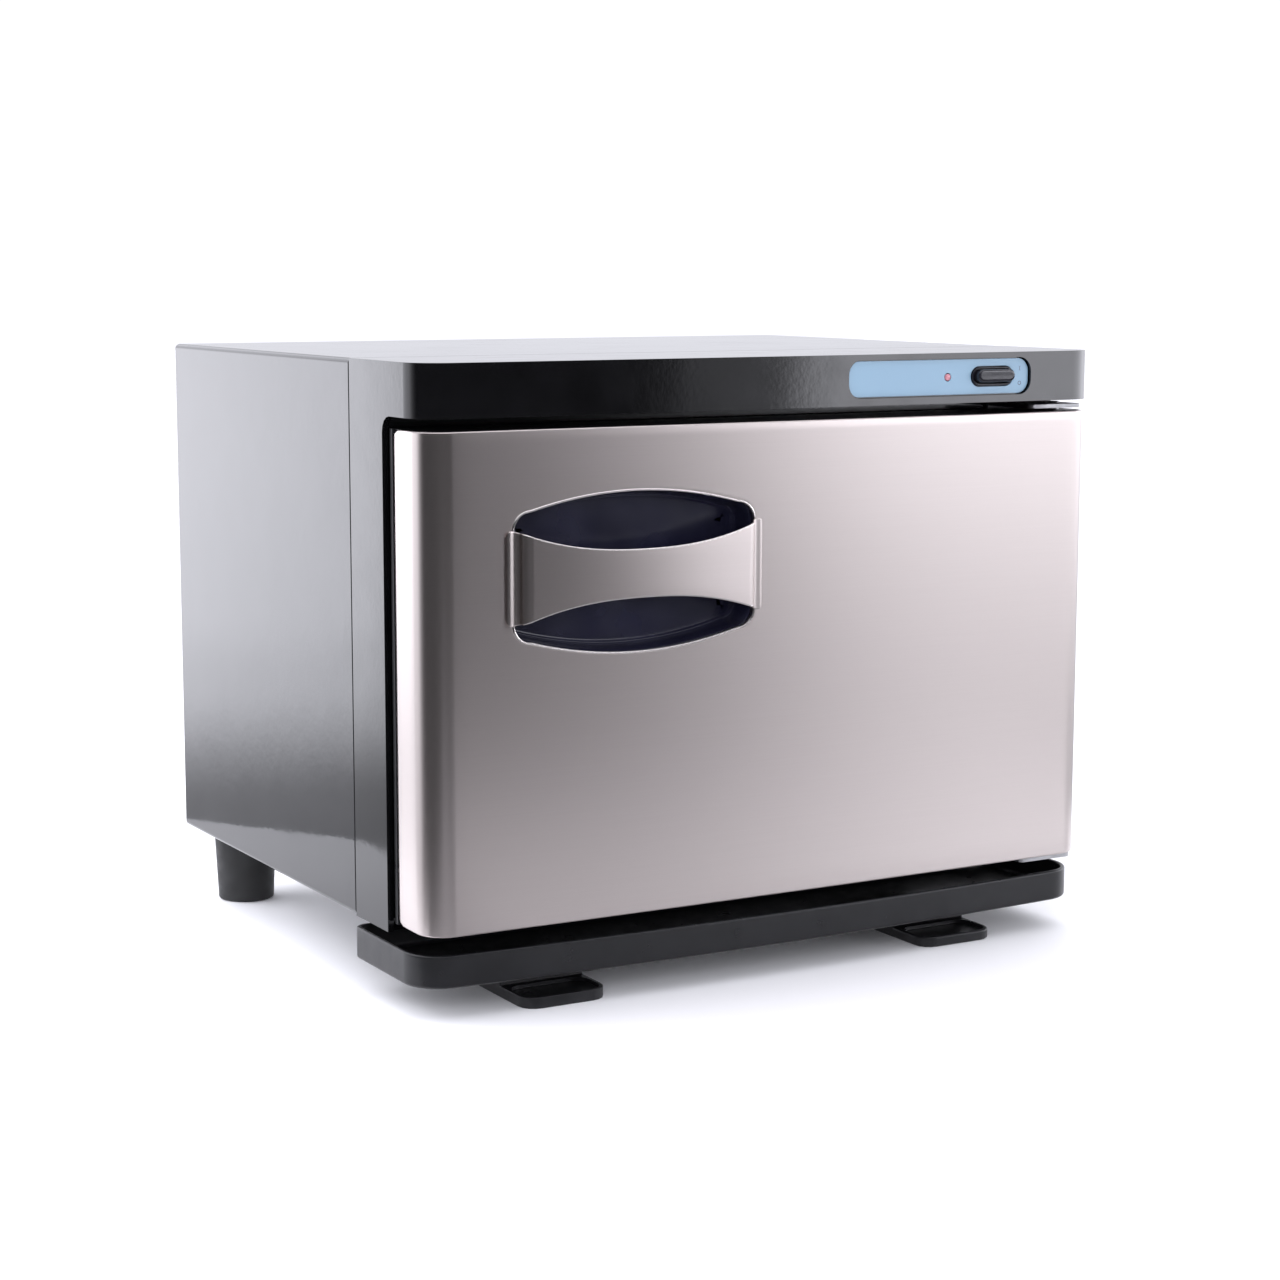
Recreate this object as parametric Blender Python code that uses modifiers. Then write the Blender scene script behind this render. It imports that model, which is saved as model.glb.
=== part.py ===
"""Hot towel cabinet: a small heated cabinet with a stainless door, a drip tray and a wire basket.

Metres, +Z up. The front faces -Y and +X is to the right of somebody facing the front.
The pieces are drawn with y = 0 on the front plane and z = 0 on the surface the feet stand on.
A parent empty then centres the object on the origin.
"""
import math

import bmesh
import bpy
from mathutils import Matrix, Vector

# ---------------------------------------------------------------- driving dimensions
WIDTH = 0.350                 # outside width of the casing
DEPTH = 0.285                 # front plane to the rear edge of the casing
BODY_HEIGHT = 0.2435          # casing without its feet
BASE = 0.034                  # underside of the casing above the table
TOP = BASE + BODY_HEIGHT
GAP = 0.0003                  # clearance between pieces that touch
SHEET = 0.001                 # sheet metal thickness
WALL = 0.0025                 # moulded wall thickness
HEADER_WALL = 0.0042          # thicker front wall of the header, for the plate's pocket

# front fascia
SEAM_Y = 0.070                # joint between the fascia and the casing
HEADER_BOTTOM = BASE + 0.2207
SIDE_LIP_Y = 0.0365           # front edge of the fascia's side returns
FACE_Y = 0.0385               # face around the chamber mouth
FASCIA_RADIUS = 0.015
LIP_WIDTH = 0.0028

# chamber
MOUTH_HALF = 0.140
MOUTH_BOTTOM = BASE + 0.028
MOUTH_TOP = BASE + 0.188
MOUTH_RADIUS = 0.008
CHAMBER_REAR = 0.232
JACKET_REAR = 0.250

# door
DOOR_HALF = 0.1727
DOOR_BOTTOM = BASE + 0.004
DOOR_TOP = BASE + 0.2155
DOOR_RADIUS = 0.013
DOOR_BOW = 0.0015             # the front bulges by this much between its ends
SKIN_REAR = 0.031
DOOR_REAR = 0.034
HINGE_X = 0.1635
HINGE_Y = 0.018
PIN_RADIUS = 0.0025
RUNNING = 0.0001              # radial running clearance of the hinge pins

# pressed pull
PULL_X = -0.0742
PULL_Z = BASE + 0.1537
PULL_HALF = 0.0585
PULL_MOUTH_MID = 0.0345       # half height of the recess at its middle
PULL_MOUTH_END = 0.0275       # half height where its corners start
PULL_CORNER = 0.008
STRAP_MID = 0.0105            # half height of the strap at its middle
STRAP_END = 0.0197            # half height of the strap at its ends
STRAP_RISE = 0.008            # how far the strap stands out of the door
STRAP_BOW = 0.001             # the strap's middle stands this much further out than its ends
STRAP_CORNER = 0.0045
STRAP_HALF = 0.0583            # middle of the pull to the outer face of an end wall
STRAP_REACH = 0.0623           # middle of the pull to the end of a foot
CUP_DEPTH = 0.013

# controls
PLATE_X = 0.085
PLATE_Z = BASE + 0.2325
PLATE_SIZE = (0.100, 0.016)
PLATE_RADIUS = 0.006
PLATE_FACE = 0.0016           # depth of the plate's face in its pocket
SWITCH_X = 0.1145
LAMP_X = 0.0895
ROCKER_TILT = math.radians(-7.0)
ROCKER_Y = 0.0015

# drip tray
TRAY_TOP = BASE - 0.005
TRAY_BOTTOM = BASE - 0.0195
TRAY_REAR = 0.074
TRAY_BOW = 0.0068
TRAY_FRONT = -0.001
TRAY_RADIUS = 0.017
TRAY_WALL = 0.002

# feet
FRONT_FOOT_X = 0.1045
FRONT_FOOT_WIDTH = 0.041
FRONT_FOOT_Y = (0.005, 0.106)
REAR_FOOT_X = 0.1536
REAR_FOOT_Y = 0.258
FOOT_SCREW_Y = 0.091

# chamber fittings
THERMOSTAT = (-0.060, 0.140)   # centre in plan
FUSE = (0.040, 0.140)
HEATER_LEAD_X = 0.090
JACKET_BOTTOM = BASE + 0.014
JACKET_TOP = MOUTH_TOP + 0.018
PAD_THICKNESS = 0.0012

# hinge brackets, catch and seal
TONGUE_X = (0.139, 0.1695)
LEAF_X = (0.139, 0.155)
LEAF = 0.0018                 # thickness of the bracket's sheet
LEAF_SCREWS = (0.1425, 0.1515)
PIN_REACH = 0.0085
CATCH_X = (-0.166, -0.156)
CATCH_Z = (BASE + 0.090, BASE + 0.130)

# basket
BASKET_HALF = 0.130
BASKET_Y = (0.052, 0.222)
BASKET_LOW = MOUTH_BOTTOM + 0.018
BASKET_HIGH = MOUTH_BOTTOM + 0.048
WIRE = 0.0015
THIN_WIRE = 0.0012
RIM_WIRE = 0.0018
CROSSING = 0.0011             # offset between the centre lines of wires welded across each other
RUNNER = 0.0013

# rear
PANEL_Y = 0.2826
GLAND_X = 0.120
GLAND_Z = BASE + 0.028
GLAND_END = 0.292
REAR_SCREWS = [(-0.1685, BASE + 0.030), (-0.1685, TOP - 0.030),
               (0.1685, BASE + 0.030), (0.1685, TOP - 0.030)]

STRAP_FACE = -STRAP_RISE - DOOR_BOW * 0.8
CENTRE_Y = (GLAND_END + STRAP_FACE) / 2

# ---------------------------------------------------------------- colours (linear RGB, roughness, metallic)
BLACK_ENAMEL = ((0.012, 0.012, 0.013), 0.12, 0.0)
BLACK_GLOSS = ((0.008, 0.008, 0.009), 0.10, 0.0)
BLACK_SATIN = ((0.018, 0.018, 0.019), 0.38, 0.0)
BLACK_RUBBER = ((0.015, 0.015, 0.015), 0.65, 0.0)
STAINLESS = ((0.56, 0.54, 0.52), 0.30, 1.0)
ALUMINIUM = ((0.78, 0.79, 0.80), 0.32, 1.0)
ZINC = ((0.62, 0.62, 0.63), 0.35, 1.0)
CHROME = ((0.80, 0.80, 0.81), 0.12, 1.0)
FOIL = ((0.82, 0.82, 0.83), 0.22, 1.0)
FOAM = ((0.75, 0.70, 0.52), 0.90, 0.0)
WOOL = ((0.80, 0.76, 0.62), 0.95, 0.0)
SILICONE = ((0.20, 0.20, 0.21), 0.55, 0.0)
PALE_BLUE = ((0.30, 0.52, 0.70), 0.35, 0.0)
DARK_GREY = ((0.035, 0.037, 0.042), 0.35, 0.0)
LAMP_RED = ((0.55, 0.02, 0.02), 0.15, 0.0)
WHITE_PLASTIC = ((0.75, 0.75, 0.73), 0.45, 0.0)
SILVER_LABEL = ((0.60, 0.60, 0.61), 0.40, 0.8)
RED_WIRE = ((0.45, 0.02, 0.02), 0.45, 0.0)
BROWN_WIRE = ((0.12, 0.05, 0.02), 0.45, 0.0)
GREY_WIRE = ((0.30, 0.30, 0.31), 0.50, 0.0)

PARTS = "hot_towel_cabinet"
TOOLS = "cutting_tools"


# ---------------------------------------------------------------- scene helpers
def clear_scene():
    for old in list(bpy.data.objects):
        bpy.data.objects.remove(old, do_unlink=True)
    for name in (PARTS, TOOLS):
        group = bpy.data.collections.new(name)
        bpy.context.scene.collection.children.link(group)


def link(obj, group):
    bpy.data.collections[group].objects.link(obj)


def as_tool(obj):
    """Keep an object as a cutter or joiner that is never part of the model."""
    obj.hide_render = True
    obj.display_type = 'WIRE'
    link(obj, TOOLS)
    return obj


def as_part(obj, finish, origin=(0.0, 0.0, 0.0)):
    """Give an object its material and its origin, and put it into the model."""
    colour, roughness, metallic = finish
    material = bpy.data.materials.new(obj.name)
    material.use_nodes = True
    shader = material.node_tree.nodes["Principled BSDF"]
    shader.inputs["Base Color"].default_value = (*colour, 1.0)
    shader.inputs["Roughness"].default_value = roughness
    shader.inputs["Metallic"].default_value = metallic
    obj.data.materials.append(material)
    move = Vector(origin)
    obj.data.transform(Matrix.Translation(-move))
    obj.location = move
    link(obj, PARTS)
    return obj


def new_object(name, mesh):
    return bpy.data.objects.new(name, mesh)


def weld(mesh):
    body = bmesh.new()
    body.from_mesh(mesh)
    bmesh.ops.remove_doubles(body, verts=body.verts, dist=0.000005)
    bmesh.ops.recalc_face_normals(body, faces=body.faces)
    body.to_mesh(mesh)
    body.free()


def curve_to_mesh(name, curve, matrix):
    """Turn a curve into a welded mesh object that stands where the matrix puts it."""
    source = bpy.data.objects.new(name + "_curve", curve)
    bpy.context.scene.collection.objects.link(source)
    graph = bpy.context.evaluated_depsgraph_get()
    mesh = bpy.data.meshes.new_from_object(source.evaluated_get(graph))
    mesh.name = name
    mesh.transform(matrix)
    weld(mesh)
    bpy.data.objects.remove(source, do_unlink=True)
    return new_object(name, mesh)


VIEWS = {
    "plan": Matrix.Identity(3),
    "front": Matrix(((1, 0, 0), (0, 0, -1), (0, 1, 0))),
    "side": Matrix(((0, 0, 1), (1, 0, 0), (0, 1, 0))),
}
DEPTH_AXIS = {"plan": Vector((0, 0, 1)), "front": Vector((0, 1, 0)), "side": Vector((1, 0, 0))}


def extrude(name, outlines, low, high, view):
    """Closed flat outlines, drawn in plan (x, y), front (x, z) or side (y, z), made solid."""
    curve = bpy.data.curves.new(name, 'CURVE')
    curve.dimensions = '2D'
    curve.fill_mode = 'BOTH'
    curve.extrude = (high - low) / 2
    for outline in outlines:
        spline = curve.splines.new('POLY')
        spline.points.add(len(outline) - 1)
        spline.use_cyclic_u = True
        for point, (u, v) in zip(spline.points, outline):
            point.co = (u, v, 0.0, 1.0)
    place = Matrix.Translation(DEPTH_AXIS[view] * (low + high) / 2) @ VIEWS[view].to_4x4()
    return curve_to_mesh(name, curve, place)


def box(name, x, y, z):
    """A block between three pairs of limits."""
    body = bmesh.new()
    bmesh.ops.create_cube(body, size=1.0)
    size = Vector((x[1] - x[0], y[1] - y[0], z[1] - z[0]))
    middle = Vector((x[1] + x[0], y[1] + y[0], z[1] + z[0])) / 2
    bmesh.ops.transform(body, matrix=Matrix.Translation(middle) @ Matrix.Diagonal((*size, 1.0)),
                        verts=body.verts)
    mesh = bpy.data.meshes.new(name)
    body.to_mesh(mesh)
    body.free()
    return new_object(name, mesh)


def rod(name, radius, start, end, sides=24, end_radius=None):
    """A round bar, or a cone, between two points."""
    start, end = Vector(start), Vector(end)
    body = bmesh.new()
    bmesh.ops.create_cone(body, cap_ends=True, segments=sides, radius1=radius,
                          radius2=radius if end_radius is None else end_radius,
                          depth=(end - start).length)
    turn = (end - start).to_track_quat('Z', 'Y').to_matrix().to_4x4()
    bmesh.ops.transform(body, matrix=Matrix.Translation((start + end) / 2) @ turn, verts=body.verts)
    mesh = bpy.data.meshes.new(name)
    body.to_mesh(mesh)
    body.free()
    return new_object(name, mesh)


def turned(name, profile, centre, sides=32):
    """A closed profile of (radius, height) points, outer side first from the top, turned about Z."""
    mesh = bpy.data.meshes.new(name)
    points = [(radius, 0.0, height) for radius, height in profile]
    count = len(points)
    mesh.from_pydata(points, [(i, (i + 1) % count) for i in range(count)], [])
    obj = new_object(name, mesh)
    bpy.context.scene.collection.objects.link(obj)
    screw = obj.modifiers.new("turn", 'SCREW')
    screw.steps = sides
    screw.render_steps = sides
    screw.use_merge_vertices = True
    screw.merge_threshold = 0.00001
    graph = bpy.context.evaluated_depsgraph_get()
    solid = bpy.data.meshes.new_from_object(obj.evaluated_get(graph))
    solid.name = name
    solid.transform(Matrix.Translation(centre))
    weld(solid)
    bpy.data.objects.remove(obj, do_unlink=True)
    return new_object(name, solid)


def tube(name, points, radius, cyclic=False):
    """A wire of even thickness through the points."""
    curve = bpy.data.curves.new(name, 'CURVE')
    curve.dimensions = '3D'
    curve.bevel_depth = radius
    curve.bevel_resolution = 2
    curve.use_fill_caps = True
    spline = curve.splines.new('POLY')
    spline.points.add(len(points) - 1)
    spline.use_cyclic_u = cyclic
    for point, place in zip(spline.points, points):
        point.co = (*place, 1.0)
    return curve_to_mesh(name, curve, Matrix.Identity(4))


def modify(target, operation, *tools):
    for tool in tools:
        if tool.name not in bpy.data.collections[TOOLS].objects:
            as_tool(tool)
        change = target.modifiers.new(operation.lower(), 'BOOLEAN')
        change.operation = operation
        change.solver = 'EXACT'
        change.object = tool
    return target


def cut(target, *tools):
    return modify(target, 'DIFFERENCE', *tools)


def join(target, *tools):
    return modify(target, 'UNION', *tools)


def keep_inside(target, *tools):
    return modify(target, 'INTERSECT', *tools)


def round_edges(obj, width, segments=2):
    bevel = obj.modifiers.new("round", 'BEVEL')
    bevel.width = width
    bevel.segments = segments
    bevel.limit_method = 'ANGLE'
    bevel.angle_limit = math.radians(50)
    return obj


def smooth(obj, degrees=35):
    obj.data.shade_smooth()
    obj.data.set_sharp_from_angle(angle=math.radians(degrees))
    return obj


# ---------------------------------------------------------------- outline helpers
def arc(centre, radius, start, end, steps):
    """Points along an arc; the angles are in degrees, anticlockwise from the first axis."""
    points = []
    for step in range(steps + 1):
        angle = math.radians(start + (end - start) * step / steps)
        points.append((centre[0] + radius * math.cos(angle), centre[1] + radius * math.sin(angle)))
    return points


def rounded_rectangle(u, v, radius, steps=4):
    """Anticlockwise outline between the limits u and v."""
    corners = [((u[1] - radius, v[0] + radius), -90), ((u[1] - radius, v[1] - radius), 0),
               ((u[0] + radius, v[1] - radius), 90), ((u[0] + radius, v[0] + radius), 180)]
    points = []
    for centre, start in corners:
        points += arc(centre, radius, start, start + 90, steps)
    return points


def rectangle(u, v):
    return [(u[0], v[0]), (u[1], v[0]), (u[1], v[1]), (u[0], v[1])]


def around(centre, size, grow=0.0):
    """Limits of a span of the given size about a centre, grown at both ends."""
    return (centre - size / 2 - grow, centre + size / 2 + grow)


def bowed_front(half, front, bow, radius, rear, steps=20, corner_steps=9):
    """Plan outline with a front that bulges towards -Y, round front corners and a square rear."""
    def front_y(x):
        return front + bow * (x / half) ** 2

    inner = half - radius
    edge_y = front_y(inner)
    points = [(half, rear)]
    points += arc((inner, edge_y + radius), radius, 0, -90, corner_steps)
    for step in range(1, steps):
        x = inner - 2 * inner * step / steps
        points.append((x, front_y(x)))
    points += arc((-inner, edge_y + radius), radius, -90, -180, corner_steps)
    points.append((-half, rear))
    return points


def door_plan(inset, rear):
    """Plan outline of the door, drawn in from its outside by the inset."""
    return bowed_front(DOOR_HALF - inset, inset - DOOR_BOW, DOOR_BOW,
                       DOOR_RADIUS - inset, rear)


def header_plan(inset, rear):
    return bowed_front(WIDTH / 2 - inset, inset, 0.0, FASCIA_RADIUS - inset, rear, steps=1)


def tray_plan(inset):
    outline = bowed_front(WIDTH / 2 - inset, TRAY_FRONT + inset, TRAY_BOW,
                          TRAY_RADIUS - inset, TRAY_REAR - inset)
    radius = 0.005 - inset / 2
    rear = TRAY_REAR - inset
    half = WIDTH / 2 - inset
    corner_right = arc((half - radius, rear - radius), radius, 90, 0, 3)
    corner_left = arc((-half + radius, rear - radius), radius, 180, 90, 3)
    return corner_right + outline[1:-1] + corner_left


def pull_mouth(grow):
    """Front outline of the barrel-shaped recess, grown outwards by the given amount."""
    flat = PULL_HALF - PULL_CORNER
    upper = []
    steps = 18
    for step in range(steps + 1):
        x = -flat + 2 * flat * step / steps
        height = PULL_MOUTH_MID - (PULL_MOUTH_MID - PULL_MOUTH_END) * (x / flat) ** 2
        upper.append((x, height + grow))
    radius = PULL_CORNER + grow
    right = arc((flat, PULL_MOUTH_END - PULL_CORNER), radius, 90, 0, 7)
    left = arc((-flat, PULL_MOUTH_END - PULL_CORNER), radius, 180, 90, 7)
    top = left[:-1] + upper + right[1:]
    bottom = [(-x, -z) for x, z in top]
    return [(PULL_X + x, PULL_Z + z) for x, z in top + bottom]


def strap_half_height(x):
    """Half height of the strap at a distance x from its middle."""
    share = min(abs(x) / PULL_HALF, 1.0) ** 2.4
    return STRAP_MID + (STRAP_END - STRAP_MID) * share


def strap_front():
    """Front outline of the strap: waisted, and as tall as the recess corners at its ends."""
    reach = STRAP_REACH + 0.001
    xs = [-reach + 2 * reach * step / 24 for step in range(25)]
    top = [(x, strap_half_height(x)) for x in xs]
    bottom = [(-x, -z) for x, z in top]
    return [(PULL_X + x, PULL_Z + z) for x, z in top + bottom]


def face_depth(x):
    """Depth of the door's bowed front."""
    return -DOOR_BOW + DOOR_BOW * (x / DOOR_HALF) ** 2


def foot_seat(side):
    """Depth of the underside of the strap's foot, just clear of the door's front."""
    ends = (PULL_X + side * STRAP_HALF, PULL_X + side * STRAP_REACH)
    return min(face_depth(x) for x in ends) - GAP


def strap_plan():
    """Plan outline of the strap: a foot and a wall at each end, and a slightly bowed bridge."""
    edge = STRAP_HALF - STRAP_CORNER
    end = STRAP_FACE + STRAP_BOW
    xs = [edge * (step - 4) / 4 for step in range(1, 8)]
    left, right = foot_seat(-1), foot_seat(1)
    points = []
    for inset, rise, way in ((0.0, SHEET, 1), (SHEET, 0.0, -1)):
        radius = STRAP_CORNER - inset
        wall = STRAP_HALF - inset
        run = [(-STRAP_REACH, left - rise), (-wall, left - rise)]
        run += arc((-edge, end + STRAP_CORNER), radius, 180, 270, 6)
        run += [(x, STRAP_FACE + STRAP_BOW * (x / edge) ** 2 + inset) for x in xs]
        run += arc((edge, end + STRAP_CORNER), radius, 270, 360, 6)
        run += [(wall, right - rise), (STRAP_REACH, right - rise)]
        points += run[::way]
    return [(PULL_X + x, y) for x, y in points]


def oval(centre_x, centre_z, width, height, steps=6):
    radius = height / 2
    return rounded_rectangle(around(centre_x, width), around(centre_z, height), radius * 0.999, steps)


def channel(half, low, high, thickness, radius, open_up):
    """Front outline of a U-shaped sheet, open at the top or at the bottom."""
    inner = radius - thickness
    outside = arc((-half + radius, high - radius), radius, 180, 90, 3)
    outside += arc((half - radius, high - radius), radius, 90, 0, 3)
    inside = arc((half - radius, high - radius), inner, 0, 90, 3)
    inside += arc((-half + radius, high - radius), inner, 90, 180, 3)
    points = [(-half, low)] + outside + [(half, low), (half - thickness, low)]
    points += inside + [(-half + thickness, low)]
    if open_up:
        points = [(x, low + high - z) for x, z in points]
    return points


# ---------------------------------------------------------------- casing
def screw_from_rear(name, x, z):
    """A pan-head screw that goes in from the rear."""
    head = rod(name, 0.0033, (x, PANEL_Y + SHEET + GAP, z), (x, PANEL_Y + SHEET + GAP + 0.0020, z), 20,
               end_radius=0.0025)
    shank = rod(name + "_shank", 0.0016, (x, PANEL_Y - 0.006, z), (x, PANEL_Y + SHEET + 0.001, z), 12)
    return smooth(as_part(join(head, shank), ZINC, (x, PANEL_Y + SHEET, z)))


def outer_casing():
    """Bent sheet over the top and both sides, with turned-in flanges below and behind."""
    half = WIDTH / 2
    casing = extrude("outer_casing", [channel(half, BASE, TOP, SHEET, 0.0025, False)],
                     SEAM_Y + 0.0005, DEPTH, "front")
    for side in (-1, 1):
        x = sorted((side * (half - 0.0055), side * (half - SHEET / 2)))
        name = "casing_flange_left" if side < 0 else "casing_flange_right"
        join(casing, box(name, x, (SEAM_Y + 0.0005, DEPTH), (BASE, BASE + SHEET)))
    border = rectangle((-half + SHEET / 2, half - SHEET / 2), (BASE + SHEET / 2, TOP - SHEET / 2))
    window = rectangle((-half + 0.012, half - 0.012), (BASE + 0.010, TOP - 0.012))
    frame = extrude("casing_rear_flange", [border, window], PANEL_Y - GAP - SHEET, PANEL_Y - GAP, "front")
    below = box("rear_flange_relief", (-half + 0.0056, half - 0.0056), (PANEL_Y - 0.004, PANEL_Y + 0.002),
                (BASE - 0.001, BASE + 0.015))
    join(casing, cut(frame, below))
    for index, (x, z) in enumerate(REAR_SCREWS):
        cut(casing, rod("flange_hole_%d" % index, 0.0019, (x, PANEL_Y - 0.01, z), (x, PANEL_Y, z), 12))
    return smooth(as_part(casing, BLACK_ENAMEL))


def foot_places():
    places = {}
    for word, side in (("left", -1), ("right", 1)):
        places["front_foot_" + word] = (side * FRONT_FOOT_X, FOOT_SCREW_Y)
        places["rear_foot_" + word] = (side * REAR_FOOT_X, REAR_FOOT_Y)
    return places


def bottom_pan():
    half = WIDTH / 2 - SHEET - GAP
    low = BASE + SHEET + GAP
    pan = extrude("bottom_pan", [channel(half, low, low + 0.011, SHEET, 0.002, True)],
                  SEAM_Y + 0.001, PANEL_Y - 2 * GAP - SHEET, "front")
    for name, (x, y) in foot_places().items():
        cut(pan, rod(name + "_pan_hole", 0.0024, (x, y, low - 0.002), (x, y, low + 0.003), 16))
    return smooth(as_part(pan, ZINC))


def vent_slots():
    slots = []
    for row in range(2):
        for column in range(5):
            x = around(-0.055 + 0.0275 * column, 0.021)
            z = around(TOP - 0.032 - 0.010 * row, 0.0045)
            slots.append(extrude("vent_slot_%d_%d" % (row, column), [rounded_rectangle(x, z, 0.0022, 3)],
                                 PANEL_Y - 0.002, PANEL_Y + 0.003, "front"))
    return slots


def rear_panel():
    half = WIDTH / 2 - SHEET - GAP
    outline = rounded_rectangle((-half, half), (BASE + SHEET + GAP, TOP - SHEET - GAP), 0.0025, 3)
    panel = extrude("rear_panel", [outline], PANEL_Y, PANEL_Y + SHEET, "front")
    cut(panel, *vent_slots())
    holes = [(x, z, 0.0019) for x, z in REAR_SCREWS] + [(GLAND_X, GLAND_Z, 0.0063)]
    for index, (x, z, radius) in enumerate(holes):
        cut(panel, rod("panel_hole_%d" % index, radius, (x, PANEL_Y - 0.003, z),
                       (x, PANEL_Y + 0.004, z), 24))
    return as_part(panel, BLACK_SATIN)


def rating_label():
    front = PANEL_Y + SHEET + GAP
    outline = rounded_rectangle(around(-0.060, 0.070), around(BASE + 0.100, 0.040), 0.002, 3)
    return as_part(extrude("rating_label", [outline], front, front + 0.0004, "front"), SILVER_LABEL)


def cord_gland():
    """Snap-in inlet bush in the rear panel, with a clear bore for the supply cord."""
    outside = PANEL_Y + SHEET + GAP
    profile = [(0.0055, GLAND_END), (0.0075, GLAND_END - 0.0012), (0.0080, outside + 0.0028),
               (0.0100, outside + 0.0022), (0.0100, outside), (0.0060, outside),
               (0.0060, PANEL_Y - 0.006), (0.0038, PANEL_Y - 0.006), (0.0038, GLAND_END)]
    gland = turned("cord_gland", profile, (0.0, 0.0, 0.0), 28)
    gland.data.transform(Matrix.Translation((GLAND_X, 0.0, GLAND_Z)) @ Matrix.Rotation(-math.pi / 2, 4, 'X'))
    return smooth(as_part(gland, BLACK_RUBBER, (GLAND_X, PANEL_Y, GLAND_Z)))


# ---------------------------------------------------------------- fascia and controls
def fascia_side_outline(inset):
    """Side outline of the fascia: a deep header over shallow side returns."""
    fillet = 0.007
    if inset == 0.0:
        corner = arc((SIDE_LIP_Y - fillet, HEADER_BOTTOM - fillet), fillet, 90, 0, 4)
        return [(0.0, HEADER_BOTTOM)] + corner + [
            (SIDE_LIP_Y, BASE), (SEAM_Y, BASE), (SEAM_Y, TOP), (0.0, TOP)]
    return [(HEADER_WALL, HEADER_BOTTOM + inset), (FACE_Y + inset, HEADER_BOTTOM + inset),
            (FACE_Y + inset, BASE + inset), (SEAM_Y + 0.002, BASE + inset),
            (SEAM_Y + 0.002, TOP - inset), (HEADER_WALL, TOP - inset)]


def front_fascia():
    """Moulded surround: header with the controls, side returns and the face around the mouth."""
    half = WIDTH / 2
    fascia = extrude("front_fascia", [fascia_side_outline(0.0)], -half, half, "side")
    keep_inside(fascia, extrude("fascia_plan", [header_plan(0.0, SEAM_Y + 0.001)],
                                BASE - 0.001, TOP + 0.001, "plan"))
    hollow = extrude("fascia_hollow", [fascia_side_outline(WALL)], -half + WALL, half - WALL, "side")
    keep_inside(hollow, extrude("fascia_hollow_plan", [header_plan(WALL, SEAM_Y + 0.004)],
                                BASE - 0.001, TOP + 0.001, "plan"))
    face = box("fascia_face_relief", (-half + LIP_WIDTH, half - LIP_WIDTH), (0.020, FACE_Y),
               (BASE - 0.001, HEADER_BOTTOM))
    mouth = extrude("fascia_mouth", [mouth_outline(0.0)], 0.030, FACE_Y + 0.010, "front")
    pocket = extrude("plate_pocket", [plate_outline(0.0005)], -0.001, PLATE_FACE + 0.0009, "front")
    switch_hole = extrude("switch_hole", [oval(SWITCH_X, PLATE_Z, 0.0242, 0.0094)], -0.001, 0.006, "front")
    lamp_hole = rod("lamp_hole", 0.0019, (LAMP_X, -0.001, PLATE_Z), (LAMP_X, 0.006, PLATE_Z), 16)
    cut(fascia, hollow, face, mouth, pocket, switch_hole, lamp_hole)
    for level, (_, z, _) in enumerate(hinge_levels()):
        for index, x in enumerate(LEAF_SCREWS):
            cut(fascia, rod("leaf_hole_%d%d" % (level, index), 0.0014, (x, 0.030, z), (x, 0.050, z), 12))
    room = 0.0004
    cut(fascia, box("catch_pocket", (CATCH_X[0] - room, CATCH_X[1] + room), (0.037, 0.045),
                    (CATCH_Z[0] - room, CATCH_Z[1] + room)))
    return smooth(as_part(fascia, BLACK_GLOSS))


def mouth_outline(grow):
    return rounded_rectangle((-MOUTH_HALF - grow, MOUTH_HALF + grow),
                             (MOUTH_BOTTOM - grow, MOUTH_TOP + grow), MOUTH_RADIUS + grow)


def plate_outline(grow):
    return rounded_rectangle(around(PLATE_X, PLATE_SIZE[0], grow), around(PLATE_Z, PLATE_SIZE[1], grow),
                             PLATE_RADIUS + grow, 6)


def control_plate():
    """Pale overlay in the header's pocket, open around the switch and the lamp."""
    switch_window = oval(SWITCH_X, PLATE_Z, 0.0242, 0.0094)
    lamp_window = arc((LAMP_X, PLATE_Z), 0.0019, 0, 337.5, 15)
    plate = extrude("control_plate", [plate_outline(0.0), switch_window, lamp_window],
                    PLATE_FACE, PLATE_FACE + 0.0006, "front")
    return as_part(plate, PALE_BLUE)


def switch_body():
    """Switch housing behind the header, with an oval neck that shows through the plate."""
    neck = extrude("switch_body", [oval(SWITCH_X, PLATE_Z, 0.0234, 0.0086)], PLATE_FACE - 0.0008, 0.0047, "front")
    join(neck, box("switch_case", around(SWITCH_X, 0.030), (HEADER_WALL + GAP, 0.0170), around(PLATE_Z, 0.0125)))
    cut(neck, extrude("switch_well", [oval(SWITCH_X, PLATE_Z, 0.0214, 0.0066)], -0.001, 0.0060, "front"))
    return as_part(neck, DARK_GREY)


def switch_rocker():
    """Rocker cap that tips about its long axis; it rests with its upper edge pressed in."""
    pivot = Vector((SWITCH_X, ROCKER_Y, PLATE_Z))
    cap = extrude("switch_rocker", [oval(SWITCH_X, PLATE_Z, 0.0206, 0.0058)], -0.0026, 0.0036, "front")
    cap = as_part(cap, DARK_GREY, pivot)
    cap.data.transform(Matrix.Rotation(ROCKER_TILT, 4, 'X'))
    return smooth(round_edges(cap, 0.0006))


def power_lamp():
    lens = rod("power_lamp", 0.0016, (LAMP_X, 0.0090, PLATE_Z), (LAMP_X, PLATE_FACE - 0.0007, PLATE_Z), 16)
    return smooth(as_part(round_edges(lens, 0.0005), LAMP_RED))


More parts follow.
